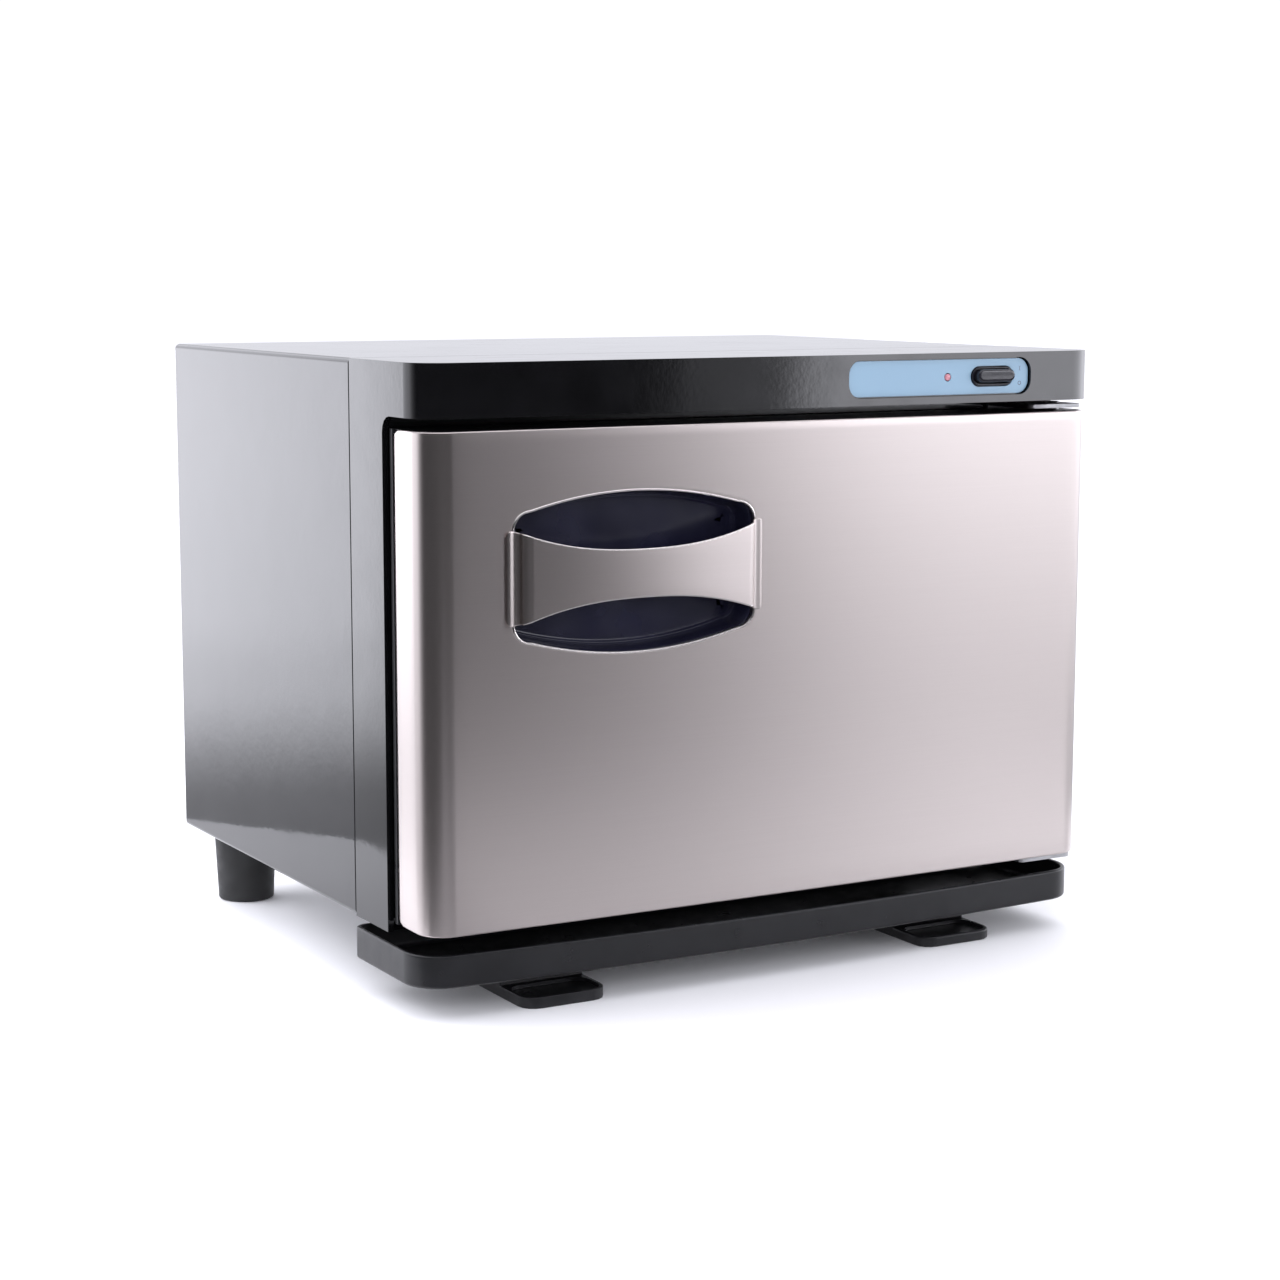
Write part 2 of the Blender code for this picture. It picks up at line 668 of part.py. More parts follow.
# ---------------------------------------------------------------- heated chamber
def chamber_liner():
    """Aluminium box, open at the front, with a flange behind the fascia's face."""
    front = FACE_Y + WALL + GAP
    liner = extrude("chamber_liner", [mouth_outline(SHEET)], front, CHAMBER_REAR, "front")
    join(liner, extrude("liner_flange", [mouth_outline(0.010)], front, front + SHEET, "front"))
    cut(liner, extrude("liner_inside", [mouth_outline(0.0)], front - 0.002, CHAMBER_REAR - SHEET, "front"))
    return smooth(as_part(liner, ALUMINIUM))


def heater_pad():
    """Foil heating pad wrapped under the chamber and up its sides."""
    near = SHEET + GAP
    outside = mouth_outline(near + PAD_THICKNESS)
    inside = mouth_outline(near)
    pad = extrude("heater_pad", [outside, inside], 0.060, CHAMBER_REAR - 0.015, "front")
    cut(pad, box("heater_top_cut", (-0.2, 0.2), (0.05, 0.25), (MOUTH_TOP - 0.030, MOUTH_TOP + 0.02)))
    return smooth(as_part(pad, FOIL))


def insulation_jacket():
    """Mineral wool block around the chamber, with a well above it for the thermostat and the fuse."""
    half = WIDTH / 2 - 0.0036
    jacket = extrude("insulation_jacket", [rectangle((-half, half), (JACKET_BOTTOM, JACKET_TOP))],
                     FACE_Y + WALL + 0.0030, JACKET_REAR, "front")
    cut(jacket, extrude("jacket_inside", [mouth_outline(SHEET + PAD_THICKNESS + 3 * GAP)],
                        0.030, CHAMBER_REAR + GAP, "front"))
    for name, place, radius in (("thermostat_well", THERMOSTAT, 0.016), ("fuse_well", FUSE, 0.012)):
        cut(jacket, rod(name, radius, (*place, MOUTH_TOP + SHEET), (*place, JACKET_TOP + 0.002), 24))
    cut(jacket, box("heater_lead_gap", around(HEATER_LEAD_X, 0.010), (0.20, JACKET_REAR + 0.01),
                    (JACKET_BOTTOM - 0.01, JACKET_BOTTOM + 0.004)))
    return as_part(jacket, WOOL)


def thermostat():
    """Snap disc on the chamber roof."""
    seat = MOUTH_TOP + SHEET + GAP
    disc = rod("thermostat", 0.0085, (*THERMOSTAT, seat), (*THERMOSTAT, seat + 0.0060), 24)
    join(disc, rod("thermostat_cap", 0.0065, (*THERMOSTAT, seat + 0.0055),
                   (*THERMOSTAT, seat + 0.0110), 24))
    return smooth(as_part(disc, DARK_GREY))


def thermal_fuse():
    radius = 0.0020
    x, y = FUSE
    seat = MOUTH_TOP + SHEET + GAP + radius
    fuse = rod("thermal_fuse", radius, (x - 0.0075, y, seat), (x + 0.0075, y, seat), 16)
    return smooth(as_part(round_edges(fuse, 0.0005), WHITE_PLASTIC))


def rack_rail(word, side):
    """Angle on the chamber wall that the basket slides on."""
    wall = side * (MOUTH_HALF - GAP)
    inner = side * (MOUTH_HALF - 0.0085)
    thin = side * (MOUTH_HALF - GAP - SHEET)
    shelf = BASKET_LOW - CROSSING - RUNNER - GAP
    rail = box("rack_rail_" + word, sorted((wall, inner)), (0.050, 0.224), (shelf - SHEET, shelf))
    join(rail, box("rail_leaf_" + word, sorted((wall, thin)), (0.050, 0.224), (shelf - 0.006, shelf - SHEET / 2)))
    return as_part(rail, ALUMINIUM)


def loop_points(z, inset=0.0):
    """Round-cornered loop of the basket at a height, some way inside the outermost one."""
    x_range = (-BASKET_HALF + inset, BASKET_HALF - inset)
    y_range = (BASKET_Y[0] + inset, BASKET_Y[1] - inset)
    return [(x, y, z) for x, y in rounded_rectangle(x_range, y_range, 0.010 - inset, 3)]


def basket_wire(name, radius, start, end):
    return as_tool(rod(name, radius, start, end, 8))


def base_wire_x(index):
    return -BASKET_HALF + 0.026 * (index + 1)


def runner_y(index):
    return BASKET_Y[0] + 0.015 + (BASKET_Y[1] - BASKET_Y[0] - 0.030) * index / 4


def basket_base():
    """Base of the chromed wire basket: a loop, a row of wires across it and three runners."""
    reach = MOUTH_HALF - 0.0015
    front, rear = BASKET_Y
    z = BASKET_LOW + CROSSING
    base = tube("basket_base", loop_points(BASKET_LOW), WIRE, cyclic=True)
    wires = []
    for index in range(9):
        x = base_wire_x(index)
        wires.append(basket_wire("base_wire_%d" % index, THIN_WIRE, (x, front - 0.0004, z), (x, rear + 0.0004, z)))
    for index in (0, 2, 4):
        y = runner_y(index)
        wires.append(basket_wire("runner_%d" % index, RUNNER, (-reach, y, BASKET_LOW - CROSSING),
                                 (reach, y, BASKET_LOW - CROSSING)))
    join(base, *wires)
    return smooth(as_part(base, CHROME, (0.0, front, BASKET_LOW)), 50)


def basket_rim():
    """Rim of the basket with its uprights, which stand just inside the base loop."""
    stand = WIRE + THIN_WIRE + GAP
    rim = tube("basket_rim", loop_points(BASKET_HIGH, stand - CROSSING), RIM_WIRE, cyclic=True)
    beside = 2 * THIN_WIRE + GAP
    feet = []
    for index in range(0, 9, 2):
        for y in (BASKET_Y[0] + stand, BASKET_Y[1] - stand):
            feet.append((base_wire_x(index) + beside, y))
    for index in range(5):
        for side in (-1, 1):
            feet.append((side * (BASKET_HALF - stand), runner_y(index) + 0.0019))
    low, high = BASKET_LOW + 2 * GAP, BASKET_HIGH - GAP
    join(rim, *[basket_wire("upright_%d" % number, THIN_WIRE, (x, y, low), (x, y, high))
                for number, (x, y) in enumerate(feet)])
    return smooth(as_part(rim, CHROME, (0.0, BASKET_Y[0], BASKET_HIGH)), 50)


def terminal_block():
    low = BASE + SHEET + GAP + SHEET + GAP
    block = box("terminal_block", (0.060, 0.096), (0.256, 0.270), (low, low + 0.014))
    return as_part(round_edges(block, 0.0012), WHITE_PLASTIC)


def bend_through(points, steps=6):
    """Smooth points along a route, by Catmull-Rom interpolation."""
    padded = [points[0]] + list(points) + [points[-1]]
    result = []
    for before, start, end, after in zip(padded, padded[1:], padded[2:], padded[3:]):
        a, b, c, d = Vector(before), Vector(start), Vector(end), Vector(after)
        for step in range(steps):
            t = step / steps
            result.append(0.5 * (2 * b + (c - a) * t + (2 * a - 5 * b + 4 * c - d) * t * t
                                 + (3 * b - 3 * c + d - a) * t ** 3))
    result.append(Vector(points[-1]))
    return result


def wires():
    """Leads between the terminal block, the heater and the switch."""
    block_top = BASE + 2 * SHEET + 2 * GAP + 0.014
    over = JACKET_TOP + 0.006
    under = JACKET_BOTTOM - 0.0022
    heater = [(HEATER_LEAD_X, 0.256 - GAP, under + 0.0007)]
    heater += [(HEATER_LEAD_X, y, under) for y in (0.248, 0.225, 0.205)]
    control = [(0.088, 0.262, block_top + GAP), (0.088, 0.264, block_top + 0.030), (0.090, 0.262, over - 0.020),
               (0.094, 0.245, over), (0.100, 0.180, over), (0.110, 0.100, over + 0.004),
               (SWITCH_X, 0.062, PLATE_Z - 0.003), (SWITCH_X, 0.040, PLATE_Z),
               (SWITCH_X, 0.0170 + GAP, PLATE_Z)]
    sensor = [(0.066, 0.262, block_top + GAP), (0.065, 0.266, block_top + 0.040), (0.056, 0.262, over - 0.014),
              (0.030, 0.238, over + 0.002), (-0.020, 0.185, over + 0.003), (-0.056, 0.150, over),
              (*THERMOSTAT, MOUTH_TOP + SHEET + 0.0110 + 3 * GAP)]
    as_part(tube("wire_heater", bend_through(heater, 4), 0.0011), RED_WIRE)
    as_part(tube("wire_control", bend_through(control, 4), 0.0013), BROWN_WIRE)
    as_part(tube("wire_sensor", bend_through(sensor, 4), 0.0011), GREY_WIRE)


# ---------------------------------------------------------------- door
def hinge_levels():
    """For each bracket: its name, the height of its leaf screws and the direction of its pin."""
    return [("top", BASE + 0.2105, -1), ("bottom", BASE + 0.0085, 1)]


def hinge_bracket(word, screw_z, pin_way):
    """Bracket on the fascia's face: a tongue over or under the door, a leaf and a pin."""
    near = DOOR_TOP + 0.0013 if pin_way < 0 else DOOR_BOTTOM - 0.0010
    far = near - pin_way * LEAF
    tongue = extrude("hinge_bracket_" + word,
                     [rounded_rectangle(TONGUE_X, (0.0045, FACE_Y - GAP), 0.0025, 3)],
                     min(near, far), max(near, far), "plan")
    leaf_end = screw_z + pin_way * 0.0050
    join(tongue, box("hinge_leaf_" + word, LEAF_X, (FACE_Y - GAP - LEAF, FACE_Y - GAP),
                     sorted((far, leaf_end))))
    join(tongue, rod("hinge_pin_" + word, PIN_RADIUS, (HINGE_X, HINGE_Y, far - pin_way * 0.0006),
                     (HINGE_X, HINGE_Y, near + pin_way * PIN_REACH), 32))
    for index, x in enumerate(LEAF_SCREWS):
        cut(tongue, rod("leaf_screw_hole_%s_%d" % (word, index), 0.0015, (x, 0.030, screw_z),
                        (x, 0.045, screw_z), 12))
    return smooth(as_part(tongue, ZINC))


def leaf_screw(name, x, z):
    face = FACE_Y - GAP - LEAF - GAP
    head = rod(name, 0.0018, (x, face - 0.0010, z), (x, face, z), 16, end_radius=0.0022)
    join(head, rod(name + "_shank", 0.0011, (x, face - 0.0002, z), (x, FACE_Y + WALL + 0.003, z), 10))
    return smooth(as_part(head, ZINC))


def hinge_bush(word, pin_way):
    """Plastic sleeve in the door that turns on the pin."""
    outside = DOOR_TOP - 0.0001 if pin_way < 0 else DOOR_BOTTOM + 0.0001
    low, high = sorted((outside + pin_way * PIN_REACH, outside))
    bore = PIN_RADIUS + RUNNING
    profile = [(0.0045, high), (0.0045, low), (bore, low), (bore, high)]
    return smooth(as_part(turned("hinge_bush_" + word, profile, (HINGE_X, HINGE_Y, 0.0), 32),
                          WHITE_PLASTIC, (HINGE_X, HINGE_Y, 0.0)))


def door_skin():
    """Stainless sheet wrapped round both sides, with a hole for the pull's recess."""
    pivot = (HINGE_X, HINGE_Y, 0.0)
    outline = door_plan(0.0, SKIN_REAR) + list(reversed(door_plan(SHEET, SKIN_REAR)))
    skin = extrude("door_skin", [outline], DOOR_BOTTOM, DOOR_TOP, "plan")
    cut(skin, extrude("pull_mouth_hole", [pull_mouth(0.0)], -0.010, 0.010, "front"))
    chamfer = 0.006
    for word, z, way in (("top", DOOR_TOP, -1), ("bottom", DOOR_BOTTOM, 1)):
        corner = [(SKIN_REAR - chamfer, z - way * 0.001), (SKIN_REAR + 0.002, z - way * 0.001),
                  (SKIN_REAR + 0.002, z + way * (chamfer + 0.002)), (SKIN_REAR - chamfer, z)]
        cut(skin, extrude("skin_corner_" + word, [corner], -0.2, 0.2, "side"))
    return smooth(as_part(skin, STAINLESS, pivot))


def pull_strap():
    """Pressed strap across the recess, whose feet sit on the door's front."""
    strap = extrude("pull_strap", [strap_plan()], PULL_Z - 0.030, PULL_Z + 0.030, "plan")
    keep_inside(strap, extrude("strap_outline", [strap_front()], -0.030, 0.030, "front"))
    return smooth(as_part(strap, STAINLESS, (HINGE_X, HINGE_Y, 0.0)))


def pull_cup():
    """Black moulded cup behind the pull."""
    cup = extrude("pull_cup", [pull_mouth(0.0040)], 0.0012, 0.0026, "front")
    join(cup, extrude("cup_body", [pull_mouth(0.0005)], 0.0020, CUP_DEPTH + 0.0015, "front"))
    cut(cup, extrude("cup_hollow", [pull_mouth(-0.0015)], -0.002, CUP_DEPTH, "front"))
    return smooth(as_part(cup, BLACK_GLOSS, (HINGE_X, HINGE_Y, 0.0)))


def bush_holes():
    return [rod("bush_hole_" + end, 0.0048, (HINGE_X, HINGE_Y, z - 0.010), (HINGE_X, HINGE_Y, z + 0.010), 24)
            for end, z in (("top", DOOR_TOP), ("bottom", DOOR_BOTTOM))]


def door_frame():
    """Moulded inner door: a shallow pan behind the skin that closes the top, bottom and back."""
    inset = SHEET + GAP
    wall = 0.002
    frame = extrude("door_frame", [door_plan(inset, DOOR_REAR - wall / 2)], DOOR_BOTTOM, DOOR_TOP, "plan")
    join(frame, box("door_frame_lip", (-DOOR_HALF, DOOR_HALF), (SKIN_REAR + GAP, DOOR_REAR),
                    (DOOR_BOTTOM, DOOR_TOP)))
    cut(frame, box("door_frame_hollow", (-DOOR_HALF + inset + wall, DOOR_HALF - inset - wall),
                   (-0.010, DOOR_REAR - wall), (DOOR_BOTTOM + wall, DOOR_TOP - wall)))
    cut(frame, *bush_holes())
    return smooth(as_part(frame, BLACK_SATIN, (HINGE_X, HINGE_Y, 0.0)))


def door_insulation():
    margin = 0.0026
    outline = door_plan(0.0040, DOOR_REAR - margin)
    foam = extrude("door_insulation", [outline], DOOR_BOTTOM + margin, DOOR_TOP - margin, "plan")
    cut(foam, box("cup_room", around(PULL_X, 2 * PULL_HALF, 0.006), (-0.01, CUP_DEPTH + 0.0025),
                  around(PULL_Z, 2 * PULL_MOUTH_MID, 0.006)))
    for end, z in (("top", DOOR_TOP), ("bottom", DOOR_BOTTOM)):
        cut(foam, box("bush_room_" + end, (HINGE_X - 0.007, DOOR_HALF + 0.01), (-0.01, DOOR_REAR + 0.01),
                      (z - 0.013, z + 0.013)))
    return as_part(foam, FOAM, (HINGE_X, HINGE_Y, 0.0))


def door_liner():
    """Aluminium sheet on the inner face of the door."""
    outline = rounded_rectangle((-0.1385, 0.1385), (MOUTH_BOTTOM - 0.0015, MOUTH_TOP + 0.0015), 0.006)
    front = DOOR_REAR + GAP
    return as_part(extrude("door_liner", [outline], front, front + 0.0008, "front"), ALUMINIUM,
                   (HINGE_X, HINGE_Y, 0.0))


def door_gasket():
    """Soft seal around the mouth, carried by the door."""
    outer = rounded_rectangle((-0.152, 0.152), (BASE + 0.0165, BASE + 0.1995), 0.012)
    inner = rounded_rectangle((-0.1425, 0.1425), (BASE + 0.0255, BASE + 0.1905), 0.006)
    seal = extrude("door_gasket", [outer, inner], DOOR_REAR + GAP, FACE_Y - GAP, "front")
    return smooth(as_part(seal, SILICONE, (HINGE_X, HINGE_Y, 0.0)))


def catch_pieces():
    """Magnet in the fascia's face and the steel plate on the door that it holds."""
    magnet = box("catch_magnet", CATCH_X, (0.0372, 0.0434), CATCH_Z)
    as_part(round_edges(magnet, 0.0006), DARK_GREY)
    strike = box("strike_plate", CATCH_X, (DOOR_REAR + GAP, DOOR_REAR + GAP + 0.0010),
                 (CATCH_Z[0] + 0.002, CATCH_Z[1] - 0.002))
    as_part(strike, ZINC, (HINGE_X, HINGE_Y, 0.0))


# ---------------------------------------------------------------- tray and feet
def drip_tray():
    """Open trough under the door, with a bowed front, that slides out forwards."""
    tray = extrude("drip_tray", [tray_plan(0.0)], TRAY_BOTTOM, TRAY_TOP, "plan")
    cut(tray, extrude("tray_hollow", [tray_plan(TRAY_WALL)], TRAY_BOTTOM + TRAY_WALL, TRAY_TOP + 0.005,
                      "plan"))
    return smooth(as_part(round_edges(tray, 0.0006, 1), BLACK_SATIN, (0.0, TRAY_REAR, TRAY_BOTTOM)))


def foot_screw(name, x, y):
    """Screw up through a foot into the bottom pan, its head in the foot's recess."""
    seat = BASE - 0.018
    head = rod(name, 0.0040, (x, y, seat - GAP - 0.0025), (x, y, seat - GAP), 20)
    join(head, rod(name + "_shank", 0.0020, (x, y, seat - GAP - 0.0010), (x, y, BASE + 0.0085), 16))
    return smooth(as_part(head, ZINC))


def drill_foot(foot, x, y):
    seat = BASE - 0.018
    cut(foot, rod(foot.name + "_recess", 0.0048, (x, y, -0.002), (x, y, seat), 20))
    cut(foot, rod(foot.name + "_bore", 0.0024, (x, y, seat - 0.002), (x, y, BASE + 0.010), 16))


def front_foot(word, side):
    """Shoe-shaped foot: a leg behind, a shelf that carries the tray and a low toe in front."""
    toe = 0.005
    shelf = TRAY_BOTTOM - GAP
    leg_y = TRAY_REAR + 0.0015
    front, rear = FRONT_FOOT_Y
    outline = [(front, 0.0), (rear, 0.0), (rear - 0.002, BASE + SHEET), (leg_y, BASE + SHEET),
               (leg_y, shelf), (front + 0.028, shelf), (front + 0.026, shelf - 0.002),
               (front + 0.025, toe), (front, toe)]
    x = side * FRONT_FOOT_X
    name = "front_foot_" + word
    foot = extrude(name, [outline], *around(x, FRONT_FOOT_WIDTH), "side")
    keep_inside(foot, extrude(name + "_plan",
                              [rounded_rectangle(around(x, FRONT_FOOT_WIDTH), FRONT_FOOT_Y, 0.008, 4)],
                              -0.001, BASE + 0.010, "plan"))
    drill_foot(foot, x, FOOT_SCREW_Y)
    return smooth(as_part(foot, BLACK_SATIN))


def rear_foot(word, side):
    """Tapered round foot."""
    x = side * REAR_FOOT_X
    high = BASE + SHEET
    profile = [(0.0, high), (0.0155, high), (0.0137, 0.0012), (0.0125, 0.0), (0.0, 0.0)]
    foot = turned("rear_foot_" + word, profile, (x, REAR_FOOT_Y, 0.0), 32)
    drill_foot(foot, x, REAR_FOOT_Y)
    return smooth(as_part(foot, BLACK_RUBBER))


# ---------------------------------------------------------------- assembly
def build():
    clear_scene()
    outer_casing()
    bottom_pan()
    rear_panel()
    rating_label()
    cord_gland()
    for index, (x, z) in enumerate(REAR_SCREWS):
        screw_from_rear("rear_screw_%d" % (index + 1), x, z)
    front_fascia()
    control_plate()
    switch_body()
    switch_rocker()
    power_lamp()
    chamber_liner()
    heater_pad()
    insulation_jacket()
    thermostat()
    thermal_fuse()
    for word, side in (("left", -1), ("right", 1)):
        rack_rail(word, side)
    basket_base()
    basket_rim()
    terminal_block()
    wires()
    for word, screw_z, pin_way in hinge_levels():
        hinge_bracket(word, screw_z, pin_way)
        hinge_bush(word, pin_way)
        for index, x in enumerate(LEAF_SCREWS):
            leaf_screw("hinge_screw_%s_%d" % (word, index + 1), x, screw_z)
    door_skin()
    pull_strap()
    pull_cup()
    door_frame()
    door_insulation()
    door_liner()
    door_gasket()
    catch_pieces()
    drip_tray()
    for word, side in (("left", -1), ("right", 1)):
        front_foot(word, side)
        rear_foot(word, side)
    for name, (x, y) in foot_places().items():
        foot_screw(name + "_screw", x, y)
    centre = bpy.data.objects.new("cabinet_origin", None)
    link(centre, PARTS)
    centre.location = (0.0, -CENTRE_Y, 0.0)
    for name in (PARTS, TOOLS):
        for obj in bpy.data.collections[name].objects:
            if obj is not centre:
                obj.parent = centre


build()
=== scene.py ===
"""Looks of the hot towel cabinet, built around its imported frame.

Metres, +Z up, the front faces -Y. Depths are measured from the front plane, as in the CAD source.
"""
import math

import bmesh
import bpy
from mathutils import Matrix, Vector
from mathutils.geometry import tessellate_polygon


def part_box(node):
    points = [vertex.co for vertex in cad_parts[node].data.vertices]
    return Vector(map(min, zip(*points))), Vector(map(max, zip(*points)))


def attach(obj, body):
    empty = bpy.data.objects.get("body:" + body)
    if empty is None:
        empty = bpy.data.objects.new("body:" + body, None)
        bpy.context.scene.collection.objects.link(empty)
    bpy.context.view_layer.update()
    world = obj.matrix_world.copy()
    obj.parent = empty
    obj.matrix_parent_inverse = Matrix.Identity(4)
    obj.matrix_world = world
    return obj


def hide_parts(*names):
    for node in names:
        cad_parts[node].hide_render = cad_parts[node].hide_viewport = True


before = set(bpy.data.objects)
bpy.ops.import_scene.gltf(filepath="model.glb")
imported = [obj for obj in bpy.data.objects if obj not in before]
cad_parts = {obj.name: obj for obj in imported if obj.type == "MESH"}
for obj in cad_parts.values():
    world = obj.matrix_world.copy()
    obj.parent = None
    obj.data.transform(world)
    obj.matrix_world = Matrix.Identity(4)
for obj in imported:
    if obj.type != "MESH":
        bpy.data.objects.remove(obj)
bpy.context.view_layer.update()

# ---------------- places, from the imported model
CASING_LOW, CASING_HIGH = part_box("outer_casing")
DOOR_LOW, DOOR_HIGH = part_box("door_skin")
CUP_LOW, CUP_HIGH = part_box("pull_cup")
STRAP_LOW, STRAP_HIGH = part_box("pull_strap")
TRAY_LOW, TRAY_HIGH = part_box("drip_tray")
PLATE_LOW, PLATE_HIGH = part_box("control_plate")
PANEL_LOW, PANEL_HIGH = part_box("rear_panel")

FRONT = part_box("front_fascia")[0].y   # the front plane
BASE = CASING_LOW.z                   # underside of the casing
TOP = CASING_HIGH.z
HALF = CASING_HIGH.x                  # half the casing's width
SHEET = 0.001                         # thickness of the casing
SEAM = 0.0004                         # open joint between the fascia and the casing


def at(x, depth, z):
    """A point at a depth behind the front plane."""
    return Vector((x, FRONT + depth, z))


def behind(point_y):
    """Depth behind the front plane of a world y."""
    return point_y - FRONT


def depths(low, high):
    """Depths of the front and the rear of a box."""
    return behind(low.y), behind(high.y)


def middle(node):
    """Centre of a CAD node's box."""
    low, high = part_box(node)
    return (low + high) / 2


# ---------------- materials
USUAL = (0.3, 0.7)            # the range that noise mostly stays in


def fill(tree, item, sockets):
    """Sets or links a node's sockets by name, an underscore standing for a space."""
    for name, value in sockets.items():
        socket = item.inputs[name.replace("_", " ")]
        if isinstance(value, bpy.types.NodeSocket):
            tree.links.new(value, socket)
        else:
            socket.default_value = value
    return item


def shader_node(tree, kind, **sockets):
    """A new node with its sockets set or linked."""
    return fill(tree, tree.nodes.new("ShaderNode" + kind), sockets)


def set_shader(made, **sockets):
    """Sets or links the sockets of the material's shader."""
    return fill(made.node_tree, made.node_tree.nodes["Principled BSDF"], sockets)


def new_material(name, metallic=0.0, **sockets):
    made = bpy.data.materials.new(name)
    made.use_nodes = True
    set_shader(made, Metallic=metallic, **sockets)
    return made


def noise(made, scale, detail=2.0, stretch=(1.0, 1.0, 1.0)):
    """Noise in the object's own coordinates."""
    tree = made.node_tree
    place = shader_node(tree, "TexCoord").outputs["Object"]
    mapping = shader_node(tree, "Mapping", Vector=place, Scale=stretch)
    texture = shader_node(tree, "TexNoise", Vector=mapping.outputs["Vector"], Scale=scale, Detail=detail)
    return texture.outputs["Fac"]


def colour(made, source, dark, light):
    """Base colour that wanders between two colours with the source."""
    ramp = shader_node(made.node_tree, "ValToRGB", Fac=source)
    for stop, place, tone in zip(ramp.color_ramp.elements, USUAL, (dark, light)):
        stop.position = place
        stop.color = (*tone, 1.0)
    set_shader(made, Base_Color=ramp.outputs["Color"])


def roughness(made, source, low, high):
    """Roughness that wanders between two values with the source."""
    stretched = shader_node(made.node_tree, "MapRange", Value=source, From_Min=USUAL[0], From_Max=USUAL[1],
                            To_Min=low, To_Max=high)
    set_shader(made, Roughness=stretched.outputs["Result"])


def relief(made, *layers):
    """Bump from one or more (source, height in metres) layers."""
    below = {}
    for source, height in layers:
        bump = shader_node(made.node_tree, "Bump", Strength=1.0, Distance=height, Height=source, **below)
        below = {"Normal": bump.outputs["Normal"]}
    set_shader(made, **below)


def surface(name, tint, gloss, *bumps, metallic=0.0, **sockets):
    """Material whose colour, roughness and relief follow noise in the object's own coordinates.

    tint: noise scale, detail, darker and lighter colour. gloss: noise scale, detail, lowest and highest
    roughness. Each bump: noise scale, detail, height in metres.
    """
    made = new_material(name, metallic, **sockets)
    colour(made, noise(made, *tint[:2]), *tint[2:])
    roughness(made, noise(made, *gloss[:2]), *gloss[2:])
    relief(made, *[(noise(made, scale, detail), height) for scale, detail, height in bumps])
    return made


def enamel():
    """Black stove enamel with a slight orange peel."""
    return surface("black_enamel", (45.0, 2.0, (0.0085, 0.0085, 0.0095), (0.0125, 0.0125, 0.0135)),
                   (30.0, 3.0, 0.035, 0.075), (260.0, 1.0, 0.000012), (45.0, 1.0, 0.00003), IOR=1.5)


def gloss_plastic():
    """Polished black moulding."""
    return surface("black_gloss_moulding", (60.0, 2.0, (0.0016, 0.0016, 0.0019), (0.0030, 0.0030, 0.0035)),
                   (55.0, 3.0, 0.045, 0.085), (420.0, 1.0, 0.000006), (60.0, 1.0, 0.000008), IOR=1.55)


def recess_plastic():
    """Bluish black moulding of the finger recess."""
    return surface("recess_moulding", (50.0, 2.0, (0.007, 0.007, 0.016), (0.011, 0.011, 0.024)),
                   (70.0, 3.0, 0.16, 0.24), (500.0, 1.0, 0.000004), (60.0, 1.0, 0.000008), IOR=1.5)


def satin_plastic():
    """Black moulding with a fine spark-eroded grain."""
    return surface("black_satin_moulding", (70.0, 3.0, (0.008, 0.008, 0.009), (0.012, 0.012, 0.0135)),
                   (120.0, 3.0, 0.27, 0.37), (2600.0, 1.0, 0.000006), IOR=1.44)


def brushed_steel():
    """Stainless sheet brushed along its width: fine streaks, and highlights drawn out across them."""
    made = new_material("brushed_stainless", 1.0, Anisotropic=0.72, Anisotropic_Rotation=0.25)
    fine = noise(made, 6.0, 2.0, (4.0, 4.0, 1000.0))
    long = noise(made, 3.0, 2.0, (2.0, 2.0, 500.0))
    colour(made, fine, (0.609, 0.553, 0.533), (0.625, 0.568, 0.548))
    roughness(made, long, 0.280, 0.292)
    relief(made, (fine, 0.00000025), (noise(made, 9.0, 1.0), 0.00002))
    tangent = shader_node(made.node_tree, "Tangent")
    tangent.direction_type = 'RADIAL'
    tangent.axis = 'Z'
    set_shader(made, Tangent=tangent.outputs["Tangent"])
    return made


def metal(name, dark, light, low, high, scale=120.0, height=0.000004):
    """Plated or rolled metal with slight blotches."""
    return surface(name, (scale, 4.0, dark, light), (scale * 1.7, 3.0, low, high),
                   (scale * 5.0, 2.0, height), metallic=1.0)


def rolled_aluminium():
    """Mill-finished sheet with its grain across the width."""
    made = new_material("rolled_aluminium", 1.0)
    grain = noise(made, 3.0, 3.0, (300.0, 2.0, 300.0))
    colour(made, grain, (0.66, 0.67, 0.69), (0.80, 0.81, 0.82))
    roughness(made, noise(made, 25.0, 1.0), 0.29, 0.33)
    relief(made, (grain, 0.000001), (noise(made, 18.0, 1.0), 0.00001))
    return made


def dull(name, dark, light, low, high, scale=400.0, height=0.00001, **sockets):
    """Rubber, silicone, paper and other surfaces that don't shine much."""
    return surface(name, (scale * 0.3, 3.0, dark, light), (scale * 0.6, 2.0, low, high),
                   (scale * 3.0, 2.0, height), **sockets)


def blue_film():
    """Pale blue printed film whose blue wanders slightly in broad patches, mostly across its width, with a
    fine matt grain.
    """
    made = new_material("blue_film", IOR=1.5, Coat_Weight=0.35, Coat_Roughness=0.12)
    colour(made, noise(made, 14.0, 1.0, (1.0, 1.0, 0.4)), (0.186, 0.302, 0.406), (0.198, 0.318, 0.422))
    roughness(made, noise(made, 90.0, 1.0), 0.285, 0.300)
    relief(made, (noise(made, 1800.0, 1.0), 0.0000005))
    return made


def lamp_red():
    """Pale pinkish red lens with a clear coat."""
    return surface("lamp_lens", (900.0, 2.0, (0.44, 0.18, 0.22), (0.56, 0.25, 0.29)),
                   (600.0, 2.0, 0.10, 0.20), (1500.0, 1.0, 0.00001), IOR=1.49, Coat_Weight=0.6,
                   Coat_Roughness=0.05)


